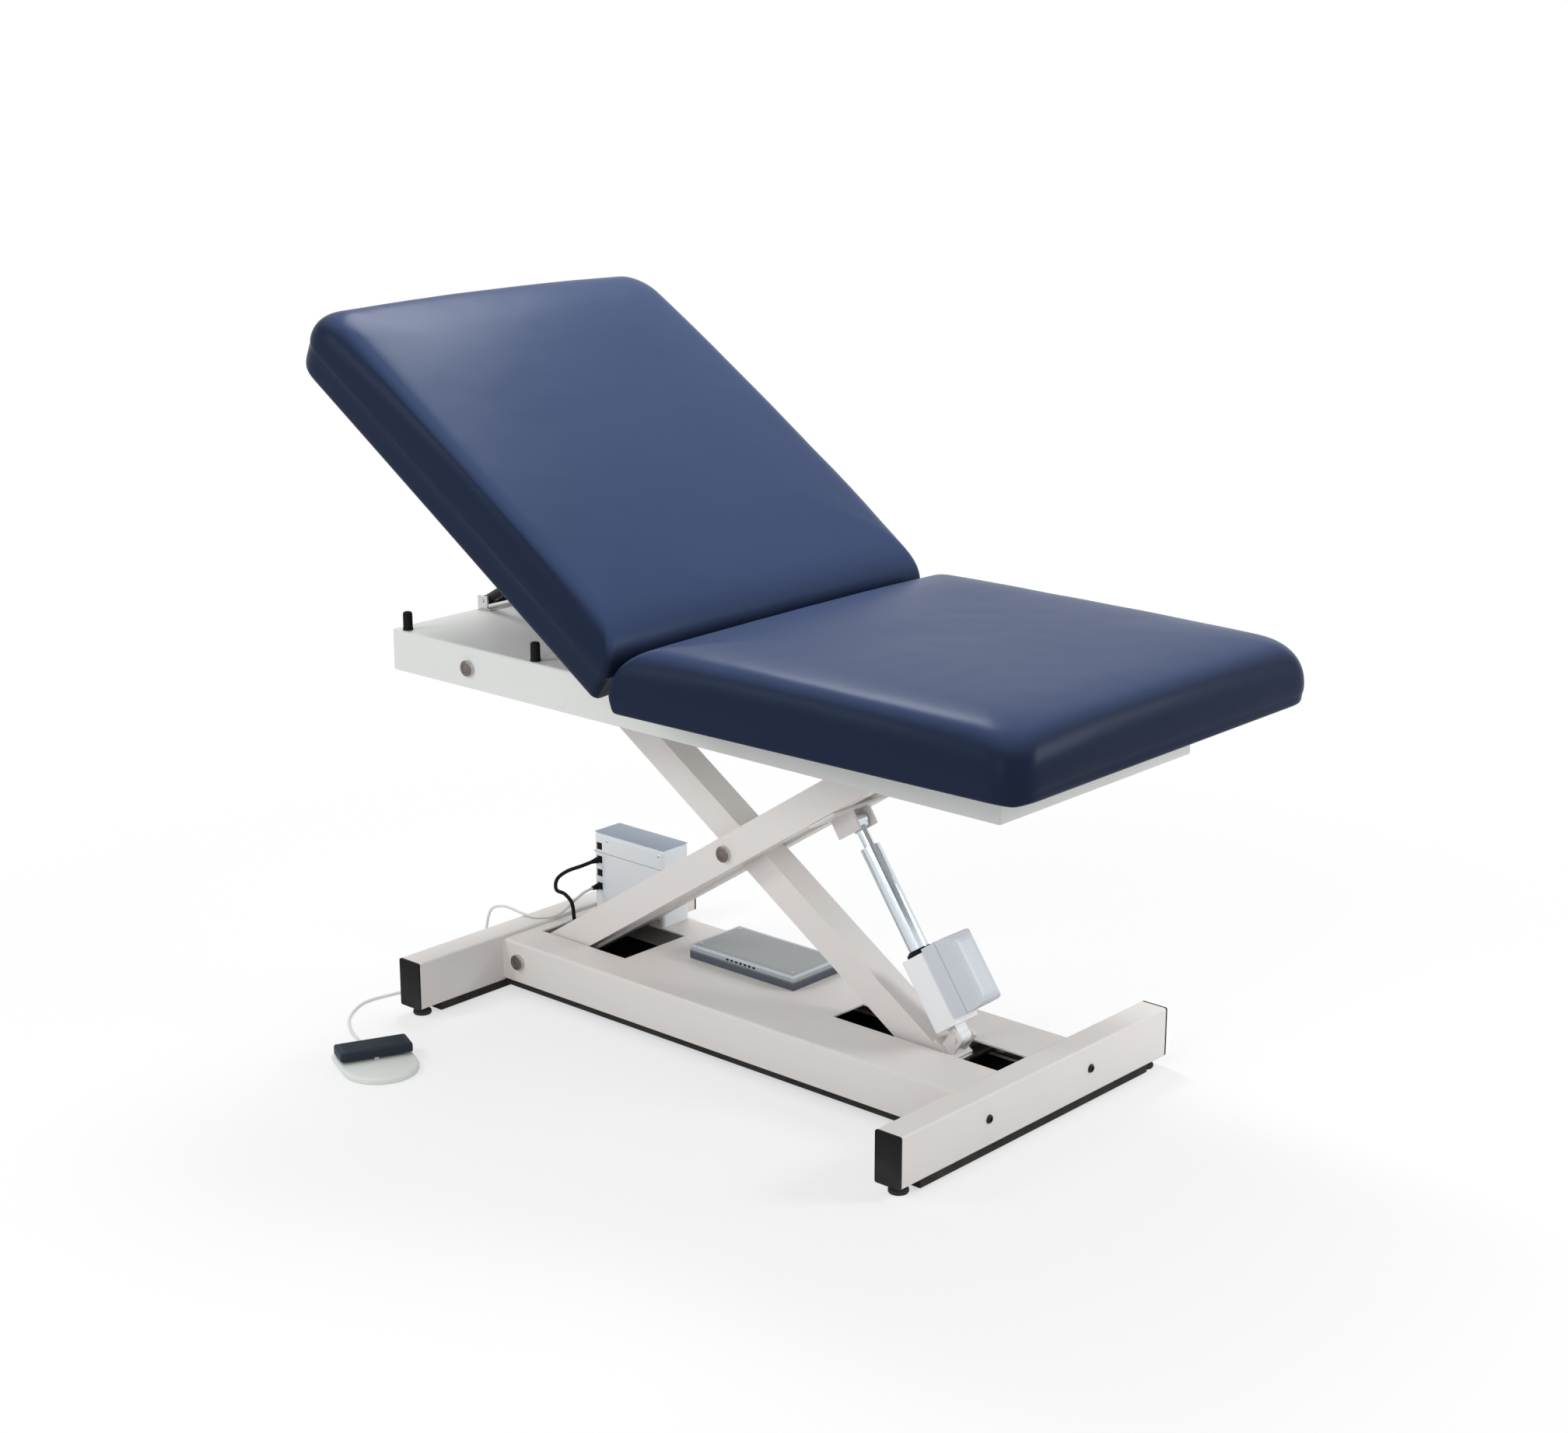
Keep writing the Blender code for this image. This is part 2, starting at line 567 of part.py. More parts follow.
# Base body: a channel turned open side down, slotted for the arms
base_body = rounded_box("base_body", (BODY_HEAD_X + SEAT_GAP, -BODY_SIDE, BODY_BOTTOM),
                        (BODY_FOOT_X - SEAT_GAP, BODY_SIDE, BODY_TOP), PAINT, ROOT, BODY_ROUND,
                        lambda middle, run: abs(run.x) > 0.5 and middle.z > 0)
cut_box(base_body, "base_body_hollow", (BODY_HEAD_X - 0.01, -BODY_SIDE + BODY_WALL, 0.0),
        (BODY_FOOT_X + 0.01, BODY_SIDE - BODY_WALL, BODY_TOP - BODY_WALL))
cut_box(base_body, "arm_slot", (ARM_SLOT[0], -ARM_SLOT_WIDTH / 2, BODY_TOP - 0.02),
        (ARM_SLOT[1], ARM_SLOT_WIDTH / 2, BODY_TOP + 0.02))
cut_box(base_body, "inner_arm_slot", (INNER_SLOT[0], -INNER_SLOT_WIDTH / 2, BODY_TOP - 0.02),
        (INNER_SLOT[1], INNER_SLOT_WIDTH / 2, BODY_TOP + 0.02))
cut_rod(base_body, "base_pivot_bore", (PIVOT_X, -BODY_WIDTH, BASE_PIVOT_Z),
        (PIVOT_X, BODY_WIDTH, BASE_PIVOT_Z), BORE_RADIUS)
headed_shaft("base_pivot_shaft", BASE_PIVOT_Z, BODY_SIDE, STEEL, ROOT, x=PIVOT_X)


def guide_rail(name, wall, height, start, end, finish, parent, sign):
    """A C-shaped rail against a side wall, open towards the middle."""
    outer = wall - SEAT_GAP
    tall = BLOCK_HEIGHT / 2 + SLIDE_GAP
    back = span(sign, outer - RAIL_LIP, outer)
    rail = box(name, (start, back[0], height - tall - RAIL_WALL),
               (end, back[1], height + tall + RAIL_WALL), finish, parent)
    inside = span(sign, outer - 2 * RAIL_LIP, outer - RAIL_WALL)
    return cut_box(rail, name + "_channel", (start - 0.01, inside[0], height - tall),
                   (end + 0.01, inside[1], height + tall))


def slide_block(name, wall, parent, sign):
    """A nylon block on the end of a slide shaft, running in its rail."""
    outer = wall - SEAT_GAP - RAIL_WALL - SLIDE_GAP
    across = span(sign, outer - BLOCK_WIDTH, outer)
    block = box(name, (-BLOCK_LENGTH / 2, across[0], -BLOCK_HEIGHT / 2),
                (BLOCK_LENGTH / 2, across[1], BLOCK_HEIGHT / 2), NYLON, parent)
    return cut_rod(block, name + "_bore", (0.0, across[0] - 0.01, 0.0),
                   (0.0, across[1] + 0.01, 0.0), BORE_RADIUS)


BASE_WALL_Y = BODY_SIDE - BODY_WALL
FRAME_WALL_Y = FRAME_SIDE - FRAME_WALL
for side, sign in SIDES:
    guide_rail(f"base_guide_rail_{side}", BASE_WALL_Y, BASE_PIVOT_Z, RAIL_RUN[0], RAIL_RUN[1],
               STEEL, ROOT, sign)
    slide_block(f"lower_slide_block_{side}", BASE_WALL_Y, LOWER_SLIDE, sign)
    guide_rail(f"frame_guide_rail_{side}", FRAME_WALL_Y, 0.0, RAIL_RUN[0] - PIVOT_X,
               RAIL_RUN[1] - PIVOT_X, STEEL, FRAME_AXIS, sign)
    slide_block(f"upper_slide_block_{side}", FRAME_WALL_Y, UPPER_SLIDE, sign)

# Scissor: outer pair, then the inner arm between them
ARM_LOW = -ARM_HEIGHT / 2
ARM_HIGH = ARM_HEIGHT / 2


def bored_arm(name, across, parent):
    arm = box_tube(name, (-ARM_END, across[0], ARM_LOW), (ARM_LENGTH + ARM_END, across[1], ARM_HIGH),
                   ARM_WALL, 0, PAINT, parent)
    for label, along in (("start", 0.0), ("middle", ARM_HALF), ("end", ARM_LENGTH)):
        cut_rod(arm, f"{name}_{label}_bore", (along, across[0] - 0.01, 0.0),
                (along, across[1] + 0.01, 0.0), BORE_RADIUS)
    return arm


for side, sign in SIDES:
    bored_arm(f"outer_arm_{side}", span(sign, OUTER_ARM_NEAR, OUTER_ARM_FAR), LIFT_AXIS)
headed_shaft("centre_pivot_shaft", 0.0, OUTER_ARM_FAR, STEEL, LIFT_AXIS, x=ARM_HALF)
slide_reach = FRAME_WALL_Y - RAIL_WALL - 0.006
rod("upper_slide_shaft", (ARM_LENGTH, -slide_reach, 0.0), (ARM_LENGTH, slide_reach, 0.0),
    SHAFT_RADIUS, STEEL, LIFT_AXIS)

HEAD_PLATE_LOW = 0.045     # the bracket's plate to either side of the actuator's head
HEAD_PLATE_HIGH = 0.030
head_along = ARM_HALF + ACT_HEAD_ALONG
plate_top = ARM_LOW - SEAT_GAP
upper_bracket = box("actuator_upper_bracket",
                    (head_along - HEAD_PLATE_LOW, -OUTER_ARM_FAR, plate_top - BRACKET_THICKNESS),
                    (head_along + HEAD_PLATE_HIGH, OUTER_ARM_FAR, plate_top), PAINT, LIFT_AXIS)
for side, sign in SIDES:
    cheek = span(sign, 0.0208, 0.0208 + BRACKET_THICKNESS)
    add_box(upper_bracket, f"actuator_upper_cheek_{side}",
            (head_along - 0.040, cheek[0], -ACT_HEAD_DROP - 0.018),
            (head_along + 0.022, cheek[1], plate_top - BRACKET_THICKNESS / 2))

bored_arm("inner_arm", (-INNER_ARM_WIDTH / 2, INNER_ARM_WIDTH / 2), INNER_AXIS)
slide_reach = BASE_WALL_Y - RAIL_WALL - 0.006
rod("lower_slide_shaft", (ARM_LENGTH, -slide_reach, 0.0), (ARM_LENGTH, slide_reach, 0.0),
    SHAFT_RADIUS, STEEL, INNER_AXIS)

foot_along = ARM_LENGTH - ACT_FOOT_ALONG
bracket_low = ARM_HIGH + SEAT_GAP
foot_bracket = box("actuator_foot_bracket", (foot_along - 0.030, -0.0300, bracket_low),
                   (foot_along + 0.024, 0.0300, bracket_low + 0.006), PAINT, INNER_AXIS)
for side, sign in SIDES:
    cheek = span(sign, TANG_WIDTH / 2 + 0.0008, TANG_WIDTH / 2 + 0.0008 + BRACKET_THICKNESS)
    add_box(foot_bracket, f"actuator_foot_cheek_{side}",
            (foot_along - 0.015, cheek[0], bracket_low + 0.003),
            (foot_along + 0.015, cheek[1], ACT_FOOT_RISE + 0.014))
pin_reach = TANG_WIDTH / 2 + 0.0008 + BRACKET_THICKNESS + 0.003
add_rod(foot_bracket, "actuator_foot_pin", (foot_along, -pin_reach, ACT_FOOT_RISE),
        (foot_along, pin_reach, ACT_FOOT_RISE), ACT_PIN_RADIUS)

# Actuator: gear housing with the motor beside it, and the piston tube that lifts the arms
housing = rounded_box("actuator_housing", (GEAR_SPAN[0], -GEAR_WIDTH / 2, -GEAR_HIGH),
                      (GEAR_SPAN[1], GEAR_WIDTH / 2, GEAR_LOW), NYLON, ACT_AXIS, GEAR_ROUND,
                      lambda middle, run: abs(run.x) > 0.05)
add_rod(housing, "actuator_tang_eye", (0.0, -TANG_WIDTH / 2, 0.0), (0.0, TANG_WIDTH / 2, 0.0),
        TANG_RADIUS)
add_box(housing, "actuator_tang", (0.0, -TANG_WIDTH / 2, -0.011),
        (GEAR_SPAN[0] + 0.002, TANG_WIDTH / 2, 0.011))
cut_rod(housing, "actuator_tang_bore", (0.0, -GEAR_WIDTH, 0.0), (0.0, GEAR_WIDTH, 0.0),
        ACT_PIN_RADIUS + RUN_GAP)
cut_rod(housing, "actuator_piston_bore", (GEAR_SPAN[0] + 0.0030, 0.0, 0.0),
        (GEAR_SPAN[1] + 0.02, 0.0, 0.0), PISTON_RADIUS + RUN_GAP)
motor_top = -GEAR_HIGH - SEAT_GAP
rounded_box("actuator_motor", (MOTOR_SPAN[0], -GEAR_WIDTH / 2, motor_top - MOTOR_HEIGHT),
            (MOTOR_SPAN[1], GEAR_WIDTH / 2, motor_top), GREY_PLASTIC, ACT_AXIS, MOTOR_ROUND,
            lambda middle, run: middle.z < 0 and abs(run.z) < 0.01, 4)
piston = rod("actuator_rod", (PISTON_SPAN[0], 0.0, 0.0), (PISTON_SPAN[1], 0.0, 0.0),
             PISTON_RADIUS, CHROME, ACT_AXIS, sides=32)
add_rod(piston, "actuator_rod_neck", (PISTON_SPAN[1] - 0.01, 0.0, 0.0), (ACT_RUN.length, 0.0, 0.0),
        ROD_END_RADIUS)
add_rod(piston, "actuator_rod_eye", (ACT_RUN.length, -ROD_EYE_WIDTH / 2, 0.0),
        (ACT_RUN.length, ROD_EYE_WIDTH / 2, 0.0), ROD_EYE_RADIUS)
add_rod(piston, "actuator_rod_pin", (ACT_RUN.length, -0.0195, 0.0), (ACT_RUN.length, 0.0195, 0.0),
        ACT_PIN_RADIUS)

# Top frame: a shallow tray, open below
DECK = FRAME_PIVOT_DROP
frame_low = (FRAME_HEAD_X - PIVOT_X, -FRAME_SIDE, DECK - FRAME_HEIGHT)
frame_high = (FRAME_FOOT_X - PIVOT_X, FRAME_SIDE, DECK)
top_frame = rounded_box("top_frame", frame_low, frame_high, FRAME_PAINT, FRAME_AXIS, FRAME_ROUND,
                        lambda middle, run: middle.z > 0 or abs(run.z) > 0.01)
cut_box(top_frame, "top_frame_hollow",
        (frame_low[0] + FRAME_WALL, -FRAME_WALL_Y, frame_low[2] - 0.02),
        (frame_high[0] - FRAME_WALL, FRAME_WALL_Y, DECK - FRAME_PLATE))
cut_rod(top_frame, "frame_pivot_bore", (0.0, -FRAME_WIDTH, 0.0), (0.0, FRAME_WIDTH, 0.0), BORE_RADIUS)
headed_shaft("frame_pivot_shaft", 0.0, FRAME_SIDE, STEEL, FRAME_AXIS)
for end, bumper_x in zip(("head", "foot"), BUMPER_X):
    for side, sign in SIDES:
        spot = (bumper_x - PIVOT_X, sign * (FRAME_SIDE - BUMPER_INSET))
        rod(f"bumper_{end}_{side}", (*spot, DECK + SEAT_GAP), (*spot, DECK + BUMPER_HEIGHT),
            BUMPER_RADIUS, RUBBER, FRAME_AXIS)

# Gas struts: a channel bracket on the frame, the cylinders on it, and the rods
strut_x = STRUT_FOOT_X - PIVOT_X
strut_bracket = box("strut_base_bracket", (strut_x - 0.0145, -CHEEK_Y - CHEEK_THICKNESS, DECK + SEAT_GAP),
                    (strut_x + 0.022, CHEEK_Y + CHEEK_THICKNESS, DECK + SEAT_GAP + CHEEK_THICKNESS),
                    STEEL, FRAME_AXIS)
for side, sign in SIDES:
    cheek = span(sign, CHEEK_Y, CHEEK_Y + CHEEK_THICKNESS)
    add_box(strut_bracket, f"strut_base_cheek_{side}", (strut_x - 0.0145, cheek[0], DECK + 0.002),
            (strut_x + 0.014, cheek[1], DECK + STRUT_RISE + 0.010))
add_rod(strut_bracket, "strut_base_pin",
        (strut_x, -CHEEK_Y - CHEEK_THICKNESS - 0.002, DECK + STRUT_RISE),
        (strut_x, CHEEK_Y + CHEEK_THICKNESS + 0.002, DECK + STRUT_RISE), STRUT_PIN_RADIUS)

EYE_HALF = CHEEK_Y - 0.001
STRUT_ROD_SHY = 0.0013     # the rod's end stops short of the eye's own axis
cylinders = rod("gas_strut_cylinders", (0.0, -EYE_HALF, 0.0), (0.0, EYE_HALF, 0.0),
                STRUT_EYE_RADIUS, BLACK_PLASTIC, STRUT_AXIS)
rods = rod("gas_strut_rods", (STRUT_RUN.length, -EYE_HALF, 0.0), (STRUT_RUN.length, EYE_HALF, 0.0),
           STRUT_EYE_RADIUS - 0.002, STEEL, STRUT_AXIS, sides=25)
for side, sign in SIDES:
    lane = sign * STRUT_Y
    add_rod(cylinders, f"strut_cylinder_{side}", (0.004, lane, 0.0), (STRUT_CYLINDER_LENGTH, lane, 0.0),
            STRUT_RADIUS)
    cut_rod(cylinders, f"strut_cylinder_bore_{side}", (0.140, lane, 0.0), (0.340, lane, 0.0),
            STRUT_ROD_RADIUS + RUN_GAP, sides=16)
    add_rod(rods, f"strut_rod_{side}", (STRUT_ROD_START, lane, 0.0),
            (STRUT_RUN.length - STRUT_ROD_SHY, lane, 0.0), STRUT_ROD_RADIUS, sides=17)
cut_rod(cylinders, "strut_foot_bore", (0.0, -0.1, 0.0), (0.0, 0.1, 0.0), STRUT_PIN_RADIUS + RUN_GAP)

# Hinge: a rail on the frame with a pin, and a leaf under the backrest's panel
rail_x = HINGE_X - PIVOT_X
AXIS_Z = DECK + HINGE_RISE
hinge_rail = box("hinge_rail", (rail_x - 0.0105, -HINGE_SPAN, DECK + SEAT_GAP),
                 (rail_x + 0.0105, HINGE_SPAN, DECK + SEAT_GAP + 0.005), STEEL, FRAME_AXIS)
KNUCKLES = (-0.200, 0.0, 0.200)
for n, middle in enumerate(KNUCKLES):
    for side, sign in SIDES:
        run = span(sign, KNUCKLE_LENGTH / 2 + 0.0008, KNUCKLE_LENGTH / 2 + 0.0128)
        low_y = middle + run[0]
        high_y = middle + run[1]
        add_box(hinge_rail, f"hinge_post_{n}_{side}", (rail_x - 0.006, low_y, DECK + 0.003),
                (rail_x + 0.006, high_y, AXIS_Z))
        add_rod(hinge_rail, f"hinge_ear_{n}_{side}", (rail_x, low_y + 0.0002, AXIS_Z),
                (rail_x, high_y - 0.0002, AXIS_Z), BARREL_RADIUS)
    reach = KNUCKLE_LENGTH / 2 + 0.006
    add_rod(hinge_rail, f"hinge_pin_{n}", (rail_x, middle - reach, AXIS_Z),
            (rail_x, middle + reach, AXIS_Z), HINGE_PIN_RADIUS, sides=16)

PANEL_UNDER = PANEL_LOW - SEAT_GAP
hinge_leaf = box("hinge_leaf", (-LEAF_LENGTH, -HINGE_SPAN, PANEL_UNDER - LEAF_THICKNESS),
                 (-0.0130, HINGE_SPAN, PANEL_UNDER), STEEL, BACK_AXIS)
for n, middle in enumerate(KNUCKLES):
    half = KNUCKLE_LENGTH / 2
    add_box(hinge_leaf, f"hinge_tongue_{n}", (-0.020, middle - half, PANEL_UNDER - 0.0045),
            (0.0, middle + half, PANEL_UNDER - 0.0005))
    add_rod(hinge_leaf, f"hinge_knuckle_{n}", (0.0, middle - half, 0.0), (0.0, middle + half, 0.0),
            BARREL_RADIUS)
    cut_rod(hinge_leaf, f"hinge_knuckle_bore_{n}", (0.0, middle - half - 0.01, 0.0),
            (0.0, middle + half + 0.01, 0.0), HINGE_PIN_RADIUS + RUN_GAP, sides=16)

# Seat section: a covered board with the padding on it
HALF_GAP = SECTION_GAP / 2
seat_x = rail_x + HALF_GAP
rounded_box("seat_board", (seat_x + BOARD_INSET, -SECTION_SIDE + BOARD_INSET, DECK + SEAT_GAP),
            (seat_x + SEAT_LENGTH - BOARD_INSET, SECTION_SIDE - BOARD_INSET,
             DECK + SEAT_GAP + BOARD_THICKNESS), VINYL, FRAME_AXIS, CORNER_RADIUS,
            lambda middle, run: abs(run.z) > 0.01 and middle.x > 0, 5)
padding("seat_cushion", seat_x, SEAT_LENGTH, 1, DECK + BOARD_THICKNESS + 2 * SEAT_GAP,
        DECK + SECTION_TOP, AXIS_Z, VINYL, FRAME_AXIS)

# Backrest: a panel inside a padded skirt, with the padding over both
back_end = HALF_GAP + BACK_LENGTH
box("backrest_panel", (-back_end + PANEL_INSET, -SECTION_SIDE + PANEL_INSET, PANEL_LOW),
    (-HALF_GAP - BOARD_INSET, SECTION_SIDE - PANEL_INSET, PANEL_LOW + BOARD_THICKNESS),
    PLYWOOD, BACK_AXIS)
padding("backrest_cushion", -HALF_GAP, BACK_LENGTH, -1, PAD_LOW, PAD_HIGH, 0.0, VINYL, BACK_AXIS)
skirt_top = PAD_LOW - SEAT_GAP
skirt_out = SECTION_SIDE - SKIRT_INSET
skirt_head = -back_end + SKIRT_INSET
for side, sign in SIDES:
    run = span(sign, skirt_out - SKIRT_WIDTH, skirt_out)
    box(f"backrest_skirt_{side}", (skirt_head + SKIRT_WIDTH + 0.0005, run[0], SKIRT_LOW),
        (-HALF_GAP - BOARD_INSET, run[1], skirt_top), VINYL, BACK_AXIS, SKIRT_ROUND, 3)
rounded_box("backrest_skirt_head", (skirt_head, -skirt_out, SKIRT_LOW),
            (skirt_head + SKIRT_WIDTH, skirt_out, skirt_top), VINYL, BACK_AXIS, SKIRT_CORNER,
            lambda middle, run: abs(run.z) > 0.01 and middle.x < 0, 5)
head_low = STRUT_RISE - HINGE_RISE
CHEEK_TAIL = 0.030         # the top bracket's plate past its cheeks
cheek_out = CHEEK_Y + CHEEK_THICKNESS
top_bracket = box("strut_top_bracket",
                  (-STRUT_REACH - CHEEK_LENGTH / 2, -cheek_out, PANEL_UNDER - CHEEK_THICKNESS),
                  (-STRUT_REACH + CHEEK_LENGTH / 2 + CHEEK_TAIL, cheek_out, PANEL_UNDER),
                  STEEL, BACK_AXIS)
for side, sign in SIDES:
    cheek = span(sign, CHEEK_Y, CHEEK_Y + CHEEK_THICKNESS)
    add_box(top_bracket, f"strut_top_cheek_{side}",
            (-STRUT_REACH - CHEEK_LENGTH / 2, cheek[0], head_low - 0.011),
            (-STRUT_REACH + CHEEK_LENGTH / 2 + CHEEK_TAIL, cheek[1], PANEL_UNDER - 0.001))

# Controls on the base: the control box with its sockets, and the power unit
box_floor = BODY_TOP + SEAT_GAP
control_box = rounded_box("control_box", (*CONTROL_BOX[0], box_floor),
                          (*CONTROL_BOX[1], box_floor + CONTROL_BOX_HEIGHT), GREY_PLASTIC, ROOT,
                          CONTROL_BOX_ROUND, lambda middle, run: abs(run.z) > 0.1 or middle.z > 0)
for n in range(SOCKET_COUNT):
    level = box_floor + CONTROL_BOX_HEIGHT - SOCKET_MARGIN - n * SOCKET_PITCH
    cut_box(control_box, f"control_socket_{n}",
            (SOCKET_X - SOCKET_SIZE / 2, CONTROL_BOX[0][1] - 0.01, level - SOCKET_SIZE / 2),
            (SOCKET_X + SOCKET_SIZE / 2, CONTROL_BOX[0][1] + SOCKET_DEPTH, level + SOCKET_SIZE / 2))
rounded_box("power_unit", (*POWER_UNIT[0], box_floor), (*POWER_UNIT[1], box_floor + POWER_UNIT_HEIGHT),
            UNIT_GREY, ROOT, POWER_UNIT_ROUND,
            lambda middle, run: abs(run.z) < 0.01 and middle.z > 0)

# Foot pedal: a half-round housing with a rocking treadle at its back
FRONT = PEDAL_DEPTH - PEDAL_WIDTH / 2
outline = [(0.0, -PEDAL_WIDTH / 2)]
for k in range(17):
    a = math.radians(-90 + 180 * k / 16)
    outline.append((FRONT + PEDAL_WIDTH / 2 * math.cos(a), PEDAL_WIDTH / 2 * math.sin(a)))
outline.append((0.0, PEDAL_WIDTH / 2))
pedal = adopt("pedal_housing", plate_bmesh(outline, 0.0, PEDAL_HEIGHT), CORD_WHITE, PEDAL_FRAME)
soften(pedal, 0.004, 2)
TREADLE_Z = PEDAL_HEIGHT + TREADLE_LIFT
add_box(pedal, "pedal_ridge", (TREADLE_SETBACK + 0.006, -TREADLE_RIDGE, PEDAL_HEIGHT / 2),
        (TREADLE_SETBACK + TREADLE_DEPTH - 0.006, TREADLE_RIDGE, TREADLE_Z - SEAT_GAP))
add_rod(pedal, "pedal_gland", (0.010, 0.0, PEDAL_HEIGHT / 2), (-GLAND_LENGTH, 0.0, PEDAL_HEIGHT / 2),
        GLAND_RADIUS, sides=16)
TREADLE_AXIS = empty("treadle_axis", (TREADLE_SETBACK, 0.0, TREADLE_Z), parent=PEDAL_FRAME)
rounded_box("pedal_treadle", (0.0, -PEDAL_WIDTH / 2 + 0.002, 0.0),
            (TREADLE_DEPTH, PEDAL_WIDTH / 2 - 0.002, TREADLE_HEIGHT), PEDAL_DARK, TREADLE_AXIS, 0.005,
            lambda middle, run: middle.z > 0 or abs(run.z) > 0.005, 2)

# Pedal cord: along the floor behind the head crossbar, over it, and into the lowest socket
turn = Matrix.Rotation(PEDAL_TURN, 3, "Z")
mouth = turn @ Vector((-GLAND_LENGTH - SEAT_GAP, 0.0, PEDAL_HEIGHT / 2)) + Vector((*PEDAL_CENTRE, 0.0))
leave = turn @ Vector((-GLAND_LENGTH - 0.030, 0.0, 0.0045)) + Vector((*PEDAL_CENTRE, 0.0))
LOWEST_SOCKET = box_floor + CONTROL_BOX_HEIGHT - SOCKET_MARGIN - (SOCKET_COUNT - 1) * SOCKET_PITCH
ON_FLOOR = CORD_RADIUS + 0.0006
OVER_BAR = BAR_TOP + CORD_RADIUS + 0.0004
cord_stops = [mouth, leave, (-0.690, -0.542, ON_FLOOR), (-0.749, -0.496, ON_FLOOR),
              (-0.788, -0.425, ON_FLOOR), (-0.780, -0.350, ON_FLOOR), (-0.758, -0.270, ON_FLOOR),
              (-0.752, -0.180, ON_FLOOR), (-0.775, -0.110, 0.012), (-0.796, -0.078, 0.060),
              (-0.786, -0.070, 0.112), (-0.745, -0.068, 0.130), (-0.690, -0.066, OVER_BAR + 0.0010),
              (-0.650, -0.058, OVER_BAR + 0.0004), (-0.625, -0.020, OVER_BAR + 0.004),
              (-0.616, 0.040, LOWEST_SOCKET - 0.004), (SOCKET_X, 0.080, LOWEST_SOCKET),
              (SOCKET_X, CONTROL_BOX[0][1] + SOCKET_DEPTH - 0.0004, LOWEST_SOCKET)]
tube_along("pedal_cord", smooth_run(cord_stops, 4), CORD_RADIUS, CORD_WHITE, ROOT)

# Motor cable: from the second socket, round in a loose bow, and down between the outer arms
SECOND_SOCKET = LOWEST_SOCKET + 2 * SOCKET_PITCH
cable_stops = [(SOCKET_X, CONTROL_BOX[0][1] + SOCKET_DEPTH - 0.0004, SECOND_SOCKET),
               (SOCKET_X, 0.070, SECOND_SOCKET), (-0.625, 0.048, SECOND_SOCKET - 0.006),
               (-0.652, 0.030, 0.205), (-0.666, 0.014, 0.188), (-0.652, -0.002, 0.172),
               (-0.622, -0.006, 0.170), (-0.602, -0.005, 0.154), (-0.598, -0.003, 0.120),
               (-0.598, -0.002, 0.096)]
tube_along("motor_cable", smooth_run(cable_stops, 4), CABLE_RADIUS, BLACK_PLASTIC, ROOT)
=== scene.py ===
# %% [markdown]
# # A bariatric treatment table
# The table stands on two steel crossbars. A scissor of square tubes, pushed by one electric
# actuator, lifts a shallow steel tray, and the tray carries two wide padded sections: a fixed
# seat and a backrest that swings up on a hinge with a pair of gas struts. A foot pedal on a
# cord lies on the floor. The measured solids come first, as a fixed frame that is never moved.

# %% Load the frame
import math

import bmesh
import bpy
from mathutils import Matrix, Vector, noise


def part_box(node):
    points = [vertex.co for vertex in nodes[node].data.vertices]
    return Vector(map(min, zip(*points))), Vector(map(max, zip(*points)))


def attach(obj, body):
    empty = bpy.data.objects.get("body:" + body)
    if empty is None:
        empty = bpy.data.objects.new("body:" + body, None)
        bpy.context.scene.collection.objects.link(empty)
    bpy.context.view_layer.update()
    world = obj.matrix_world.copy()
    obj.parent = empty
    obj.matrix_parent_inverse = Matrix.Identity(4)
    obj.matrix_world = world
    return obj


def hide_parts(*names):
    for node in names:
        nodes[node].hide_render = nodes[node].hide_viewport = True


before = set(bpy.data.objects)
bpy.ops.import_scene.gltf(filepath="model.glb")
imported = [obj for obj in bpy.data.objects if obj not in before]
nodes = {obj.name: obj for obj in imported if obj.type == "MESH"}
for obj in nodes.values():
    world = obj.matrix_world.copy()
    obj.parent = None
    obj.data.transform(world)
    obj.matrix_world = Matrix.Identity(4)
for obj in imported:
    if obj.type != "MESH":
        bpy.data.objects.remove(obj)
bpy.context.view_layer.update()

# %% [markdown]
# ## The photographer's place
# The angle of view was worked out from the long straight edges of the base and the tray, which
# meet at two vanishing points. So the camera is simply put there. Standard view transform keeps
# a painted colour close to the value that is written for it.

# %% Camera
PIVOT_X = -0.588                            # the base pivot, from the table's own middle
CAMERA_PLACE = (3.4359, -3.8524, 2.1352)    # from the table's middle, in metres
CAMERA_TILT = math.radians(74.233)
CAMERA_TURN = math.radians(41.757)
LENS_MM = 63.74
SENSOR_MM = 36.0
TABLE = Vector((sum(v.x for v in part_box("base_pivot_shaft")) / 2 - PIVOT_X,
                sum(v.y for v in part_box("top_frame")) / 2, 0.0))
scene = bpy.context.scene
scene.view_settings.view_transform = "Standard"
camera_data = bpy.data.cameras.new("photo_camera")
camera_data.lens = LENS_MM
camera_data.sensor_width = SENSOR_MM
camera = bpy.data.objects.new("photo_camera", camera_data)
camera.location = TABLE + Vector(CAMERA_PLACE)
camera.rotation_euler = (CAMERA_TILT, 0.0, CAMERA_TURN)
scene.collection.objects.link(camera)
scene.camera = camera
print("camera at", [round(v, 3) for v in camera.location])

# %% [markdown]
# ## Small makers' tools
# Most fittings on such a table are turned or moulded. A turned piece is a profile spun round an
# axis, and a moulded block is a box with soft edges. One helper for each keeps every later cell
# short, and each helper ends by hanging its piece on the body that carries it.

# %% Turned and moulded pieces
SHARP_FOLD = math.radians(40)               # a fold past this stays a crisp edge


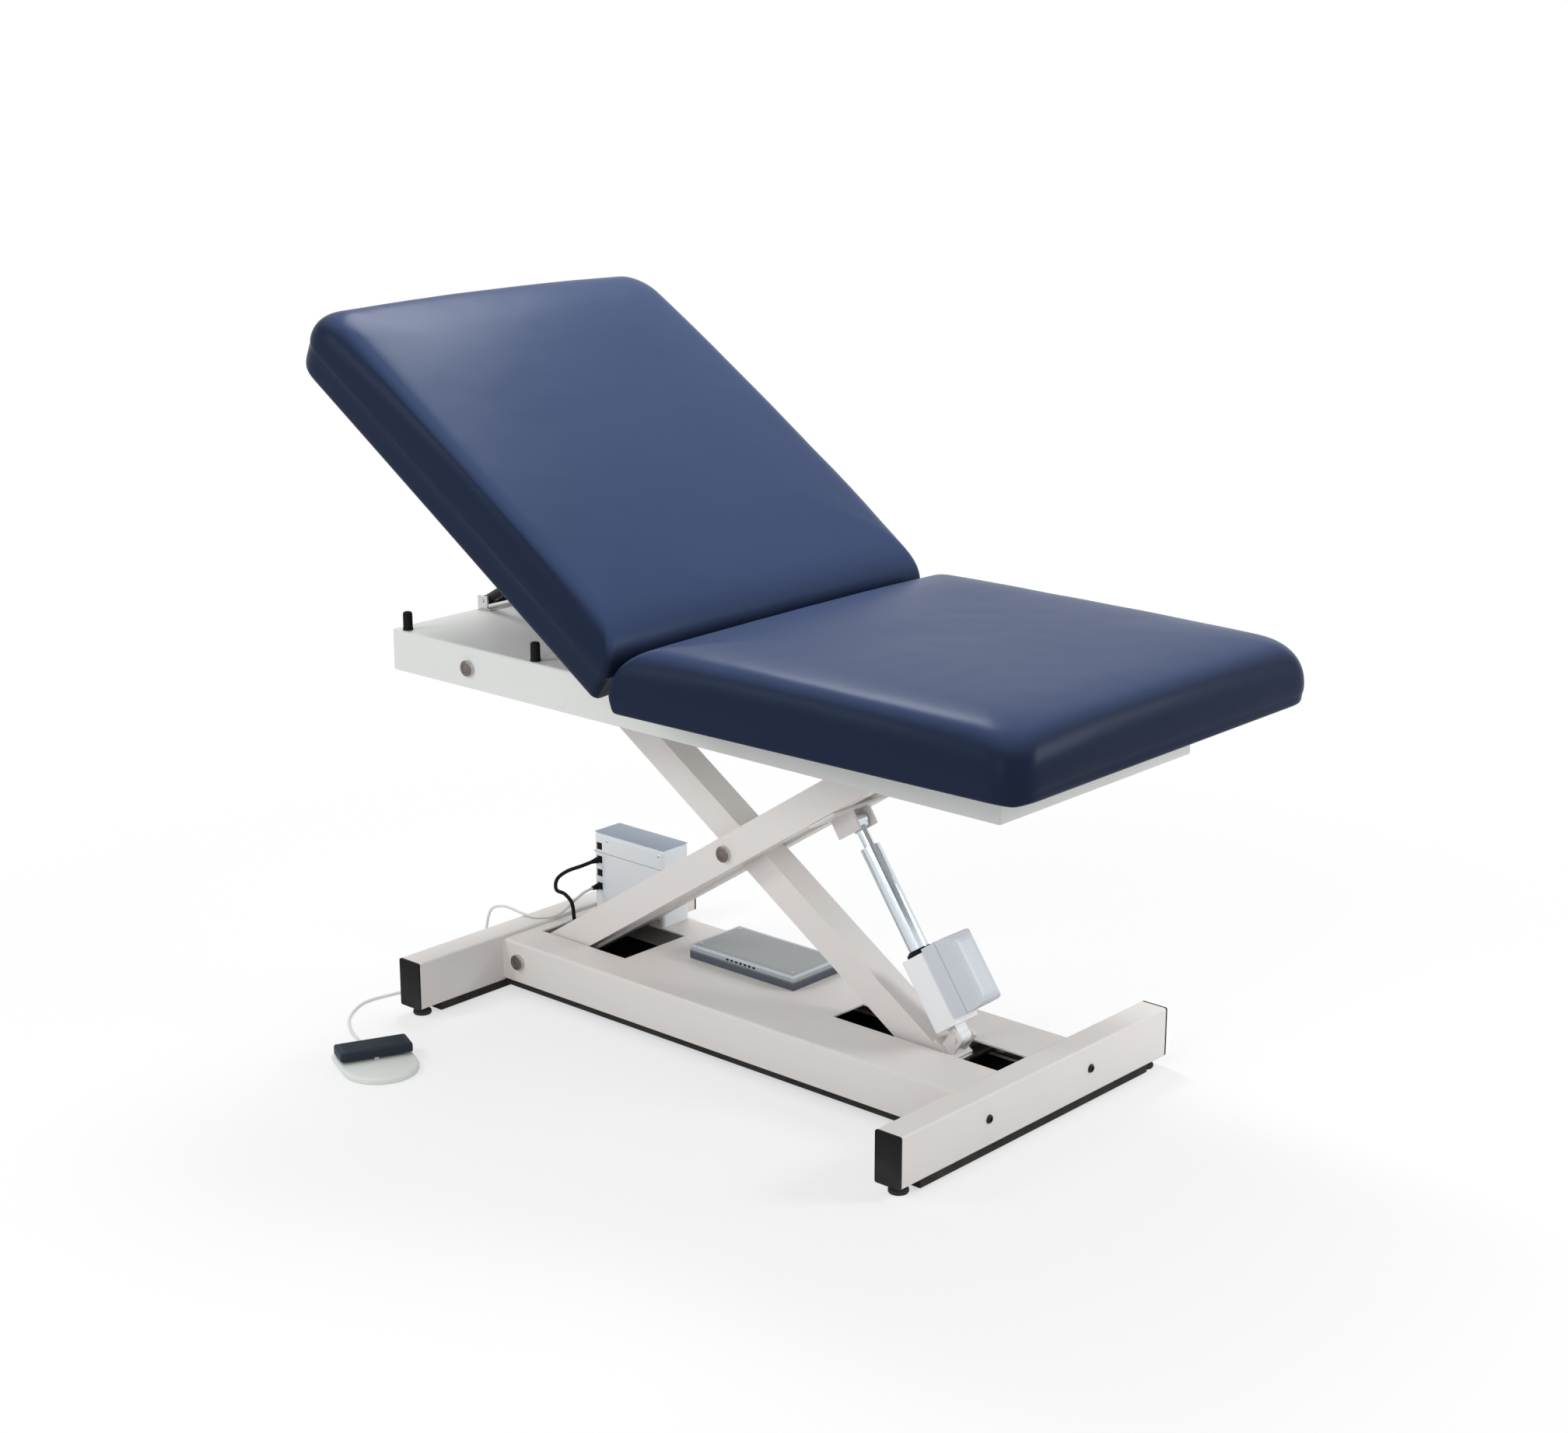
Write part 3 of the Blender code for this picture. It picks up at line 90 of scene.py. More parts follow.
def finish_piece(name, shape, body, paint):
    """Turns a worked shape into a painted piece that rides on its body."""
    mesh = bpy.data.meshes.new(name)
    shape.to_mesh(mesh)
    shape.free()
    mesh.materials.append(paint)
    mesh.shade_smooth()
    mesh.set_sharp_from_angle(angle=SHARP_FOLD)
    piece = bpy.data.objects.new(name, mesh)
    scene.collection.objects.link(piece)
    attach(piece, body)
    return piece


def frame_at(centre, axis):
    """A matrix that stands local Z along the axis at the centre."""
    turn = Vector(axis).to_track_quat("Z", "Y").to_matrix().to_4x4()
    return Matrix.Translation(Vector(centre)) @ turn


def join_rings(shape, rings):
    """Lays a band of four-sided faces between each ring and the next."""
    count = len(rings[0])
    for lower, upper in zip(rings, rings[1:]):
        for k in range(count):
            n = (k + 1) % count
            shape.faces.new((lower[k], lower[n], upper[n], upper[k]))


def turned(name, profile, centre, axis, body, paint, sides=32):
    """Spins (radius, height) pairs round an axis. With six sides it is a nut."""
    shape = bmesh.new()
    angles = [2 * math.pi * k / sides for k in range(sides)]
    rings = [[shape.verts.new((radius * math.cos(a), radius * math.sin(a), height)) for a in angles]
             for radius, height in profile]
    join_rings(shape, rings)
    shape.faces.new(rings[0])
    shape.faces.new(rings[-1])
    bmesh.ops.recalc_face_normals(shape, faces=shape.faces)
    bmesh.ops.transform(shape, matrix=frame_at(centre, axis), verts=shape.verts)
    return finish_piece(name, shape, body, paint)


def moulded(name, low, high, radius, body, paint, segments=3, place=None):
    """A box with soft edges, in the table's frame or in the frame that place gives."""
    shape = bmesh.new()
    bmesh.ops.create_cube(shape, size=1.0)
    bmesh.ops.scale(shape, vec=[b - a for a, b in zip(low, high)], verts=shape.verts)
    bmesh.ops.translate(shape, vec=[(a + b) / 2 for a, b in zip(low, high)], verts=shape.verts)
    bmesh.ops.bevel(shape, geom=shape.edges[:], offset=radius, segments=segments, profile=0.5,
                    affect="EDGES", clamp_overlap=True)
    if place is not None:
        bmesh.ops.transform(shape, matrix=place, verts=shape.verts)
    return finish_piece(name, shape, body, paint)


print("turned and moulded pieces stay crisp past", round(math.degrees(SHARP_FOLD)), "degrees")

# %% [markdown]
# ## Smooth lines
# A lead or a bead of weld is a round section along a line. The line is a few stops with a smooth
# curve laid through them, so that no bend shows a kink. The same curve later rounds the edge of
# the padding.

# %% Smooth lines
def soft_run(points, steps):
    """Points on a smooth curve through the given ones."""
    given = [Vector(p) for p in points]
    given = [2 * given[0] - given[1]] + given + [2 * given[-1] - given[-2]]
    out = []
    for i in range(1, len(given) - 2):
        a, b, c, d = given[i - 1:i + 3]
        for k in range(steps):
            t = k / steps
            out.append(0.5 * (2 * b + (c - a) * t + (2 * a - 5 * b + 4 * c - d) * t * t
                              + (3 * b - a - 3 * c + d) * t * t * t))
    out.append(given[-2])
    return out


def lead(name, points, radius, body, paint):
    """A round lead along a run of points, as one open spline."""
    curve = bpy.data.curves.new(name, "CURVE")
    curve.dimensions = "3D"
    curve.bevel_depth = radius
    curve.bevel_resolution = 4
    curve.use_fill_caps = True
    spline = curve.splines.new("POLY")
    spline.points.add(len(points) - 1)
    for spot, place in zip(spline.points, points):
        spot.co = (*place, 1.0)
        spot.radius = 1.0
    spline.use_smooth = True
    curve.materials.append(paint)
    piece = bpy.data.objects.new(name, curve)
    scene.collection.objects.link(piece)
    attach(piece, body)
    return piece


def run_length(points):
    return sum((Vector(b) - Vector(a)).length for a, b in zip(points, points[1:]))


print("a straight run of one metre measures", run_length(soft_run([(0, 0, 0), (1, 0, 0)], 10)), "m")

# %% [markdown]
# ## Effects that several finishes share
# Powder paint, moulded plastic, rubber and vinyl are never one flat colour. Each shows a faint
# mottle and a fine relief, at its own scale. Such an effect could be drawn again inside every
# material. A node group is written once, and every finish sets its own scale on it. These small
# helpers start a group, add a node, lay a noise and stretch a mask over a range.

# %% Helpers for node groups
def new_group(name, inputs, outputs):
    group = bpy.data.node_groups.new(name, "ShaderNodeTree")
    for label, kind, value in inputs:
        socket = group.interface.new_socket(label, in_out="INPUT", socket_type=kind)
        socket.default_value = value
    for label, kind in outputs:
        group.interface.new_socket(label, in_out="OUTPUT", socket_type=kind)
    start = group.nodes.new("NodeGroupInput")
    end = group.nodes.new("NodeGroupOutput")
    return group, start, end


def add_node(tree, kind, **settings):
    node = tree.nodes.new(kind)
    for key, value in settings.items():
        setattr(node, key, value)
    return node


def noise_at(tree, scale_from, detail, stretch=None):
    """A noise texture on the object's own coordinates."""
    spot = add_node(tree, "ShaderNodeTexCoord").outputs["Object"]
    if stretch is not None:
        warp = add_node(tree, "ShaderNodeMapping")
        warp.inputs["Scale"].default_value = stretch
        tree.links.new(spot, warp.inputs["Vector"])
        spot = warp.outputs["Vector"]
    cloud = add_node(tree, "ShaderNodeTexNoise")
    cloud.inputs["Detail"].default_value = detail
    tree.links.new(spot, cloud.inputs["Vector"])
    if hasattr(scale_from, "links"):
        tree.links.new(scale_from, cloud.inputs["Scale"])
    else:
        cloud.inputs["Scale"].default_value = scale_from
    return cloud


def spread(tree, value, low, high):
    """Maps a mask onto a range."""
    step = add_node(tree, "ShaderNodeMapRange")
    tree.links.new(value, step.inputs["Value"])
    for label, end in (("To Min", low), ("To Max", high)):
        if hasattr(end, "links"):
            tree.links.new(end, step.inputs[label])
        else:
            step.inputs[label].default_value = end
    return step.outputs["Result"]


print("node groups so far", len(bpy.data.node_groups))

# %% [markdown]
# ## Mottle
# Two noises make the mottle. The wide one wanders between a colour and a slightly deeper one and
# sets how rough the surface is. The fine one adds a grain, which also serves as a relief.

# %% Mottle
GREY = (0.5, 0.5, 0.5, 1.0)                 # stands in until a finish sets its own colour
DEEP_GREY = (0.4, 0.4, 0.4, 1.0)
PATCH_SPAN = (-0.35, 0.75)                  # how far the wide patches shift the blend of the colours
PATCH_DETAIL = 4.0
GRAIN_SHARE = 0.30                          # and how far the fine grain does
GRAIN_DETAIL = 2.0


def build_mottle():
    group, start, end = new_group(
        "finish_mottle",
        [("Colour", "NodeSocketColor", GREY), ("Deep Colour", "NodeSocketColor", DEEP_GREY),
         ("Patch Scale", "NodeSocketFloat", 6.0), ("Grain Scale", "NodeSocketFloat", 600.0),
         ("Smooth", "NodeSocketFloat", 0.35), ("Rough", "NodeSocketFloat", 0.5)],
        [("Colour", "NodeSocketColor"), ("Roughness", "NodeSocketFloat"), ("Relief", "NodeSocketFloat")])
    patch = noise_at(group, start.outputs["Patch Scale"], PATCH_DETAIL)
    grain = noise_at(group, start.outputs["Grain Scale"], GRAIN_DETAIL)
    blend = add_node(group, "ShaderNodeMix", data_type="RGBA")
    share = add_node(group, "ShaderNodeMath", operation="MULTIPLY_ADD")
    share.inputs[1].default_value = GRAIN_SHARE
    group.links.new(grain.outputs["Fac"], share.inputs[0])
    group.links.new(spread(group, patch.outputs["Fac"], *PATCH_SPAN), share.inputs[2])
    group.links.new(share.outputs[0], blend.inputs["Factor"])
    group.links.new(start.outputs["Colour"], blend.inputs["A"])
    group.links.new(start.outputs["Deep Colour"], blend.inputs["B"])
    group.links.new(blend.outputs["Result"], end.inputs["Colour"])
    group.links.new(spread(group, patch.outputs["Fac"], start.outputs["Smooth"], start.outputs["Rough"]),
                    end.inputs["Roughness"])
    group.links.new(grain.outputs["Fac"], end.inputs["Relief"])
    return group


mottle = build_mottle()
print("group", mottle.name, "of", len(mottle.nodes), "nodes")

# %% [markdown]
# ## Pebble
# Vinyl is embossed with a fine pebble. Rounded cells give the pebbles, and a slower noise presses
# some of them deeper than others.

# %% Pebble
WANDER_SCALE = 140.0
WANDER_DETAIL = 2.0
WANDER_SHARE = 0.35


def build_pebble():
    group, start, end = new_group(
        "embossed_pebble", [("Cell Scale", "NodeSocketFloat", 500.0), ("Softness", "NodeSocketFloat", 0.5)],
        [("Relief", "NodeSocketFloat")])
    spot = add_node(group, "ShaderNodeTexCoord").outputs["Object"]
    cells = add_node(group, "ShaderNodeTexVoronoi", feature="SMOOTH_F1")
    group.links.new(spot, cells.inputs["Vector"])
    group.links.new(start.outputs["Cell Scale"], cells.inputs["Scale"])
    group.links.new(start.outputs["Softness"], cells.inputs["Smoothness"])
    wander = noise_at(group, WANDER_SCALE, WANDER_DETAIL)
    total = add_node(group, "ShaderNodeMath", operation="MULTIPLY_ADD")
    total.inputs[1].default_value = WANDER_SHARE
    group.links.new(wander.outputs["Fac"], total.inputs[0])
    group.links.new(spread(group, cells.outputs["Distance"], 1.0, 0.0), total.inputs[2])
    group.links.new(total.outputs[0], end.inputs["Relief"])
    return group


pebble = build_pebble()
print("group", pebble.name, "of", len(pebble.nodes), "nodes")

# %% [markdown]
# ## Drawn lines
# Drawn or ground steel carries fine lines. A noise that is fine across and long along one axis
# gives such lines, and the steel is a little rougher between them.

# %% Drawn lines
LINE_SCALE = 40.0
LINE_DETAIL = 5.0
LINE_STRETCH = (30.0, 1.5, 30.0)            # fine across a piece and long along its Y axis


def build_drawn_lines():
    group, start, end = new_group(
        "drawn_lines", [("Smooth", "NodeSocketFloat", 0.2), ("Rough", "NodeSocketFloat", 0.4)],
        [("Relief", "NodeSocketFloat"), ("Roughness", "NodeSocketFloat")])
    lines = noise_at(group, LINE_SCALE, LINE_DETAIL, stretch=LINE_STRETCH)
    group.links.new(lines.outputs["Fac"], end.inputs["Relief"])
    group.links.new(spread(group, lines.outputs["Fac"], start.outputs["Smooth"], start.outputs["Rough"]),
                    end.inputs["Roughness"])
    return group


drawn_lines = build_drawn_lines()
print("group", drawn_lines.name, "of", len(drawn_lines.nodes), "nodes")

# %% [markdown]
# ## Floor dust
# A little dust gathers near the floor. It is a second colour that fades out with height. A noise
# breaks it up, so that it never ends in a straight line.

# %% Floor dust
DUST = (0.5, 0.48, 0.44, 1.0)
DUST_SCALE = 22.0
DUST_DETAIL = 5.0


def build_floor_dust():
    group, start, end = new_group(
        "floor_dust",
        [("Clean", "NodeSocketColor", GREY), ("Dust", "NodeSocketColor", DUST),
         ("Height", "NodeSocketFloat", 0.10), ("Amount", "NodeSocketFloat", 0.35)],
        [("Colour", "NodeSocketColor")])
    spot = add_node(group, "ShaderNodeTexCoord").outputs["Object"]
    split = add_node(group, "ShaderNodeSeparateXYZ")
    group.links.new(spot, split.inputs["Vector"])
    low = add_node(group, "ShaderNodeMapRange", interpolation_type="SMOOTHSTEP")
    group.links.new(split.outputs["Z"], low.inputs["Value"])
    group.links.new(start.outputs["Height"], low.inputs["From Max"])
    low.inputs["To Min"].default_value = 1.0
    low.inputs["To Max"].default_value = 0.0
    cloud = noise_at(group, DUST_SCALE, DUST_DETAIL)
    patchy = add_node(group, "ShaderNodeMath", operation="MULTIPLY")
    group.links.new(low.outputs["Result"], patchy.inputs[0])
    group.links.new(cloud.outputs["Fac"], patchy.inputs[1])
    share = add_node(group, "ShaderNodeMath", operation="MULTIPLY", use_clamp=True)
    group.links.new(patchy.outputs[0], share.inputs[0])
    group.links.new(start.outputs["Amount"], share.inputs[1])
    blend = add_node(group, "ShaderNodeMix", data_type="RGBA")
    group.links.new(share.outputs[0], blend.inputs["Factor"])
    group.links.new(start.outputs["Clean"], blend.inputs["A"])
    group.links.new(start.outputs["Dust"], blend.inputs["B"])
    group.links.new(blend.outputs["Result"], end.inputs["Colour"])
    return group


floor_dust = build_floor_dust()
print("group", floor_dust.name, "of", len(floor_dust.nodes), "nodes")

# %% [markdown]
# ## Painted shade by slope
# The vinyl's colour is painted paler where the skin faces up and deeper down its sides: the pale
# top is a painted sheen, and the deep sides are painted shade. The slope is taken against the up
# axis of its own pad, so that a tilted backrest is shaded as a level seat is.

# %% Painted shade by slope
SHADE_GREY = (0.2, 0.2, 0.2, 1.0)
UP = (0.0, 0.0, 1.0)
# past SIDE_COSINE the colour is all painted side shade, and within TOP_COSINE it is the top's own colour
SIDE_COSINE = 0.45                          # a slope past this has the side's colour
TOP_COSINE = 0.985                          # and a slope within this has the top's


# Paints shade: a pad's colour darkens towards the painted side shade as its skin slopes away from the pad's
# up axis
def build_painted_slope_shade():
    group, start, end = new_group(
        "painted_slope_shade",
        [("Top Colour", "NodeSocketColor", GREY), ("Painted Side Shade", "NodeSocketColor", SHADE_GREY),
         ("Up Axis", "NodeSocketVector", UP)],
        [("Colour", "NodeSocketColor")])
    facing = add_node(group, "ShaderNodeTexCoord").outputs["Normal"]
    dot = add_node(group, "ShaderNodeVectorMath", operation="DOT_PRODUCT")
    group.links.new(start.outputs["Up Axis"], dot.inputs[1])
    group.links.new(facing, dot.inputs[0])
    ramp = add_node(group, "ShaderNodeMapRange", interpolation_type="SMOOTHSTEP")
    group.links.new(dot.outputs["Value"], ramp.inputs["Value"])
    ramp.inputs["From Min"].default_value = SIDE_COSINE
    ramp.inputs["From Max"].default_value = TOP_COSINE
    blend = add_node(group, "ShaderNodeMix", data_type="RGBA")
    group.links.new(ramp.outputs["Result"], blend.inputs["Factor"])
    group.links.new(start.outputs["Painted Side Shade"], blend.inputs["A"])
    group.links.new(start.outputs["Top Colour"], blend.inputs["B"])
    group.links.new(blend.outputs["Result"], end.inputs["Colour"])
    return group


painted_slope_shade = build_painted_slope_shade()
print("group", painted_slope_shade.name, "of", len(painted_slope_shade.nodes), "nodes")

# %% [markdown]
# ## The recipe of a finish
# Every finish is the same short recipe. The mottle sets colour and roughness, dust may lie over
# the colour near the floor, and a relief goes into a bump. Only the numbers differ from one
# finish to the next. Metals use the drawn lines for their relief. Vinyl uses the pebble, and the
# painted shade by slope for its colour.

# %% The recipe of a finish
def use_group(tree, group, values):
    """Puts a node group into a material and sets its sockets."""
    node = add_node(tree, "ShaderNodeGroup", node_tree=group)
    for label, value in values.items():
        node.inputs[label].default_value = value
    return node


def finish_of(name, colour, deep, rough=(0.35, 0.50), grain=600.0, patch=6.0, metal=0.0, relief="mottle",
              bump=0.05, depth=0.0003, dust=0.0, dust_height=0.10, specular=0.3, side=None, axis=UP,
              tint=(1.0, 1.0, 1.0)):
    """A material whose colour, roughness and relief come from the groups above."""
    paint = bpy.data.materials.new(name)
    paint.use_nodes = True
    tree = paint.node_tree
    shader = tree.nodes["Principled BSDF"]
    shader.inputs["Metallic"].default_value = metal
    shader.inputs["Specular IOR Level"].default_value = specular
    shader.inputs["Specular Tint"].default_value = (*tint, 1.0)
    smooth, coarse = rough
    mix = use_group(tree, mottle, {"Colour": (*colour, 1.0), "Deep Colour": (*deep, 1.0),
                                   "Patch Scale": patch, "Grain Scale": grain,
                                   "Smooth": smooth, "Rough": coarse})
    colour_out = mix.outputs["Colour"]
    rough_out = mix.outputs["Roughness"]
    relief_out = mix.outputs["Relief"]
    # side is a painted shade: the colour turns to it down the sides of a pad
    if side is not None:
        shade = use_group(tree, painted_slope_shade, {"Up Axis": axis, "Painted Side Shade": (*side, 1.0)})
        tree.links.new(colour_out, shade.inputs["Top Colour"])
        colour_out = shade.outputs["Colour"]
    if relief == "pebble":
        relief_out = use_group(tree, pebble, {"Cell Scale": grain}).outputs["Relief"]
    if relief == "drawn":
        lines = use_group(tree, drawn_lines, {"Smooth": smooth, "Rough": coarse})
        relief_out = lines.outputs["Relief"]
        rough_out = lines.outputs["Roughness"]
    if dust > 0:
        low = use_group(tree, floor_dust, {"Height": dust_height, "Amount": dust})
        tree.links.new(colour_out, low.inputs["Clean"])
        colour_out = low.outputs["Colour"]
    tree.links.new(colour_out, shader.inputs["Base Color"])
    tree.links.new(rough_out, shader.inputs["Roughness"])
    raised = add_node(tree, "ShaderNodeBump")
    raised.inputs["Strength"].default_value = bump
    raised.inputs["Distance"].default_value = depth
    tree.links.new(relief_out, raised.inputs["Height"])
    tree.links.new(raised.outputs["Normal"], shader.inputs["Normal"])
    return paint


print("one recipe over", len(bpy.data.node_groups), "groups")

# %% [markdown]
# ## Paint and bare metal
# The base and the arms have a warm grey powder paint, and the tray has a cooler one. Metal is bare
# at the hinge, the shafts and the struts. The pivot heads are a darker steel, and the rods of the
# actuator and the struts are ground bright.

# %% Paint and bare metal
PAINT = finish_of("warm_grey_powder_paint", (0.712, 0.677, 0.654), (0.682, 0.647, 0.624), (0.40, 0.50),
                  grain=900.0, bump=0.12, dust=0.25)
FRAME_PAINT = finish_of("frame_powder_paint", (0.655, 0.666, 0.646), (0.625, 0.636, 0.616), (0.40, 0.50),
                        grain=900.0, bump=0.12)
STEEL = finish_of("bright_steel", (0.62, 0.61, 0.60), (0.55, 0.54, 0.53), (0.24, 0.40), metal=1.0,
                  relief="drawn", bump=0.03)
PIVOT_STEEL = finish_of("pivot_steel", (0.190, 0.160, 0.145), (0.130, 0.110, 0.100), (0.30, 0.48), metal=0.8,
                        relief="drawn", bump=0.03)
CHROME = finish_of("ground_chrome", (0.68, 0.73, 0.78), (0.60, 0.66, 0.72), (0.12, 0.22), metal=1.0,
                   relief="drawn", bump=0.02)
BLACK_PAINT = finish_of("black_paint", (0.012, 0.012, 0.013), (0.009, 0.009, 0.010), (0.30, 0.40),
                        grain=900.0, bump=0.06, specular=0.2)
print("materials", len(bpy.data.materials))

# %% [markdown]
# ## Vinyl
# Both sections have the same navy vinyl. Its colour is painted darker where the cover turns down
# from the top of its pad: painted shade on the sides. That painted shade takes the pad's own up
# axis, so the backrest's vinyl is a second material with a tilted axis.

# %% Vinyl
BACK_TILT = math.radians(33.5)              # the backrest's slope as photographed


def vinyl(name, axis):
    # side is the painted shade colour of the pads' sides
    return finish_of(name, (0.0435, 0.0655, 0.139), (0.036, 0.055, 0.119), (0.30, 0.36), grain=620.0,
                     patch=2.0, relief="pebble", bump=0.08, depth=0.0002, specular=0.045,
                     side=(0.012, 0.018, 0.039), axis=axis, tint=(0.50, 0.68, 1.0))


SEAT_VINYL = vinyl("navy_vinyl", UP)
BACK_VINYL = vinyl("navy_vinyl_backrest", (math.sin(BACK_TILT), 0.0, math.cos(BACK_TILT)))
print("materials", len(bpy.data.materials))

# %% [markdown]
# ## Plastic, rubber and board
# Caps, cases, feet and leads are moulded. They differ in grey and in how rough they are, and the
# floor's dust shows on the dark ones. The backrest's panel is a stained board with a wider grain.

# %% Plastic, rubber and board
BLACK_PLASTIC = finish_of("black_plastic", (0.012, 0.011, 0.013), (0.008, 0.008, 0.009), (0.40, 0.52),
                          grain=1100.0, bump=0.10, dust=0.08, dust_height=0.15, specular=0.05)
RUBBER = finish_of("black_rubber", (0.014, 0.014, 0.014), (0.010, 0.010, 0.010), (0.62, 0.78),
                   grain=800.0, bump=0.10, dust=0.10, dust_height=0.05, specular=0.05)
UNIT_GREY = finish_of("unit_grey_plastic", (0.345, 0.362, 0.366), (0.318, 0.334, 0.340), (0.42, 0.55),
                      grain=1000.0, bump=0.10)
# a pale blue-grey whose band paints the highlight along the power unit's upper edge
UNIT_PAINTED_HIGHLIGHT = finish_of("unit_painted_highlight", (0.520, 0.565, 0.640), (0.480, 0.525, 0.600), (0.26, 0.34),
                     grain=1000.0, bump=0.05)
# a deep blue-grey whose band paints the shade on the power unit's lower side
UNIT_PAINTED_SHADE = finish_of("unit_painted_shade", (0.090, 0.104, 0.132), (0.072, 0.084, 0.108), (0.42, 0.55),
                       grain=1000.0, bump=0.10, specular=0.12)
LID_GREY = finish_of("box_lid_plastic", (0.310, 0.374, 0.455), (0.285, 0.345, 0.424), (0.38, 0.50),
                     grain=1000.0, bump=0.10)
MOTOR_GREY = finish_of("motor_shell", (0.580, 0.605, 0.655), (0.550, 0.575, 0.625), (0.35, 0.46),
                       grain=1000.0, bump=0.08)
BOX_GREY = finish_of("pale_grey_plastic", (0.745, 0.775, 0.800), (0.710, 0.740, 0.765), (0.40, 0.52),
                     grain=1000.0, bump=0.10)
WHITE_PLASTIC = finish_of("white_plastic", (0.830, 0.840, 0.850), (0.800, 0.810, 0.822), (0.35, 0.45),
                          grain=1000.0, bump=0.08)
CORD_PALE = finish_of("pale_cord", (0.680, 0.680, 0.660), (0.640, 0.640, 0.620), (0.45, 0.58),
                      grain=1400.0, bump=0.05)
PEDAL_PALE = finish_of("pedal_shell", (0.700, 0.735, 0.700), (0.660, 0.695, 0.660), (0.42, 0.55),
                       grain=1200.0, bump=0.10, dust=0.15, dust_height=0.03)
PEDAL_DARK = finish_of("pedal_treadle", (0.022, 0.029, 0.042), (0.017, 0.023, 0.034), (0.45, 0.60),
                       grain=1200.0, bump=0.10, specular=0.12)
NYLON = finish_of("slide_nylon", (0.70, 0.69, 0.66), (0.66, 0.65, 0.62), (0.45, 0.55), bump=0.04)
PLYWOOD = finish_of("stained_panel", (0.030, 0.031, 0.034), (0.022, 0.023, 0.026), (0.55, 0.70),
                    grain=300.0, patch=9.0, bump=0.10)
print("materials", len(bpy.data.materials))

# %% [markdown]
# ## Floor
# The photograph has a white ground with a faint shadow below the table. A plain white floor would
# turn grey wherever less light falls. So the floor glows white to the camera, and near the table a
# part of it stays a plain diffuse floor that takes the shadow.

# %% Floor
FLOOR_HALF = 14.0
FLOOR_PALE = (0.82, 0.82, 0.82, 1.0)
WHITE = (1.0, 1.0, 1.0, 1.0)
SEEN_SHARE = 0.60              # the share of the glow below the table
SHADOW_REACH = (0.9, 2.3)      # the shadowed floor fades to plain white between these radii


def seen_rays(tree):
    """One where a ray comes from the camera or from a mirror-like bounce."""
    path = add_node(tree, "ShaderNodeLightPath")
    total = path.outputs["Is Camera Ray"]
    for label in ("Is Glossy Ray", "Is Transmission Ray"):
        step = add_node(tree, "ShaderNodeMath", operation="MAXIMUM")
        tree.links.new(total, step.inputs[0])
        tree.links.new(path.outputs[label], step.inputs[1])
        total = step.outputs[0]
    return total


def build_floor():
    shape = bmesh.new()
    bmesh.ops.create_grid(shape, x_segments=1, y_segments=1, size=FLOOR_HALF)
    mesh = bpy.data.meshes.new("floor")
    shape.to_mesh(mesh)
    shape.free()
    floor = bpy.data.objects.new("floor", mesh)
    scene.collection.objects.link(floor)
    paint = bpy.data.materials.new("white_floor")
    paint.use_nodes = True
    tree = paint.node_tree
    tree.nodes.remove(tree.nodes["Principled BSDF"])
    matt = add_node(tree, "ShaderNodeBsdfDiffuse")
    matt.inputs["Color"].default_value = FLOOR_PALE
    glow = add_node(tree, "ShaderNodeEmission")
    glow.inputs["Color"].default_value = WHITE
    away = add_node(tree, "ShaderNodeVectorMath", operation="LENGTH")
    tree.links.new(add_node(tree, "ShaderNodeTexCoord").outputs["Object"], away.inputs[0])
    fade = add_node(tree, "ShaderNodeMapRange", interpolation_type="SMOOTHSTEP")
    tree.links.new(away.outputs["Value"], fade.inputs["Value"])
    fade.inputs["From Min"].default_value = SHADOW_REACH[0]
    fade.inputs["From Max"].default_value = SHADOW_REACH[1]
    fade.inputs["To Min"].default_value = SEEN_SHARE
    fade.inputs["To Max"].default_value = 1.0
    share = add_node(tree, "ShaderNodeMath", operation="MULTIPLY")
    tree.links.new(fade.outputs["Result"], share.inputs[1])
    tree.links.new(seen_rays(tree), share.inputs[0])
    both = add_node(tree, "ShaderNodeMixShader")
    tree.links.new(share.outputs[0], both.inputs["Fac"])
    tree.links.new(matt.outputs[0], both.inputs[1])
    tree.links.new(glow.outputs[0], both.inputs[2])
    tree.links.new(both.outputs[0], tree.nodes["Material Output"].inputs["Surface"])
    mesh.materials.append(paint)


build_floor()
print("floor of", 2 * FLOOR_HALF, "m")

# %% [markdown]
# ## Sky and lights
# A pale sky and four soft lights light the table about as a bright room would. One hangs over the
# head end and one stands beside it. A wide one in front fills the shadows, and one past the foot
# end draws the pale rim along the seat.

# %% Sky and lights
SKY_TINT = (0.97, 0.985, 1.0, 1.0)
SKY_LEVEL = 0.54
LIGHTS = (                     # name, place, what it points at, width in metres, power in watts
    ("head_light", (-1.4, 1.1, 3.3), (-0.4, 0.0, 0.9), 1.0, 64.0),
    ("near_light", (-1.5, -2.2, 2.1), (0.2, 0.0, 0.6), 0.8, 21.0),
    ("front_fill", (1.0, -3.3, 2.2), (0.2, 0.0, 0.3), 1.6, 38.0),
    ("foot_light", (2.7, 1.7, 1.75), (0.5, 0.0, 0.6), 0.9, 44.0))


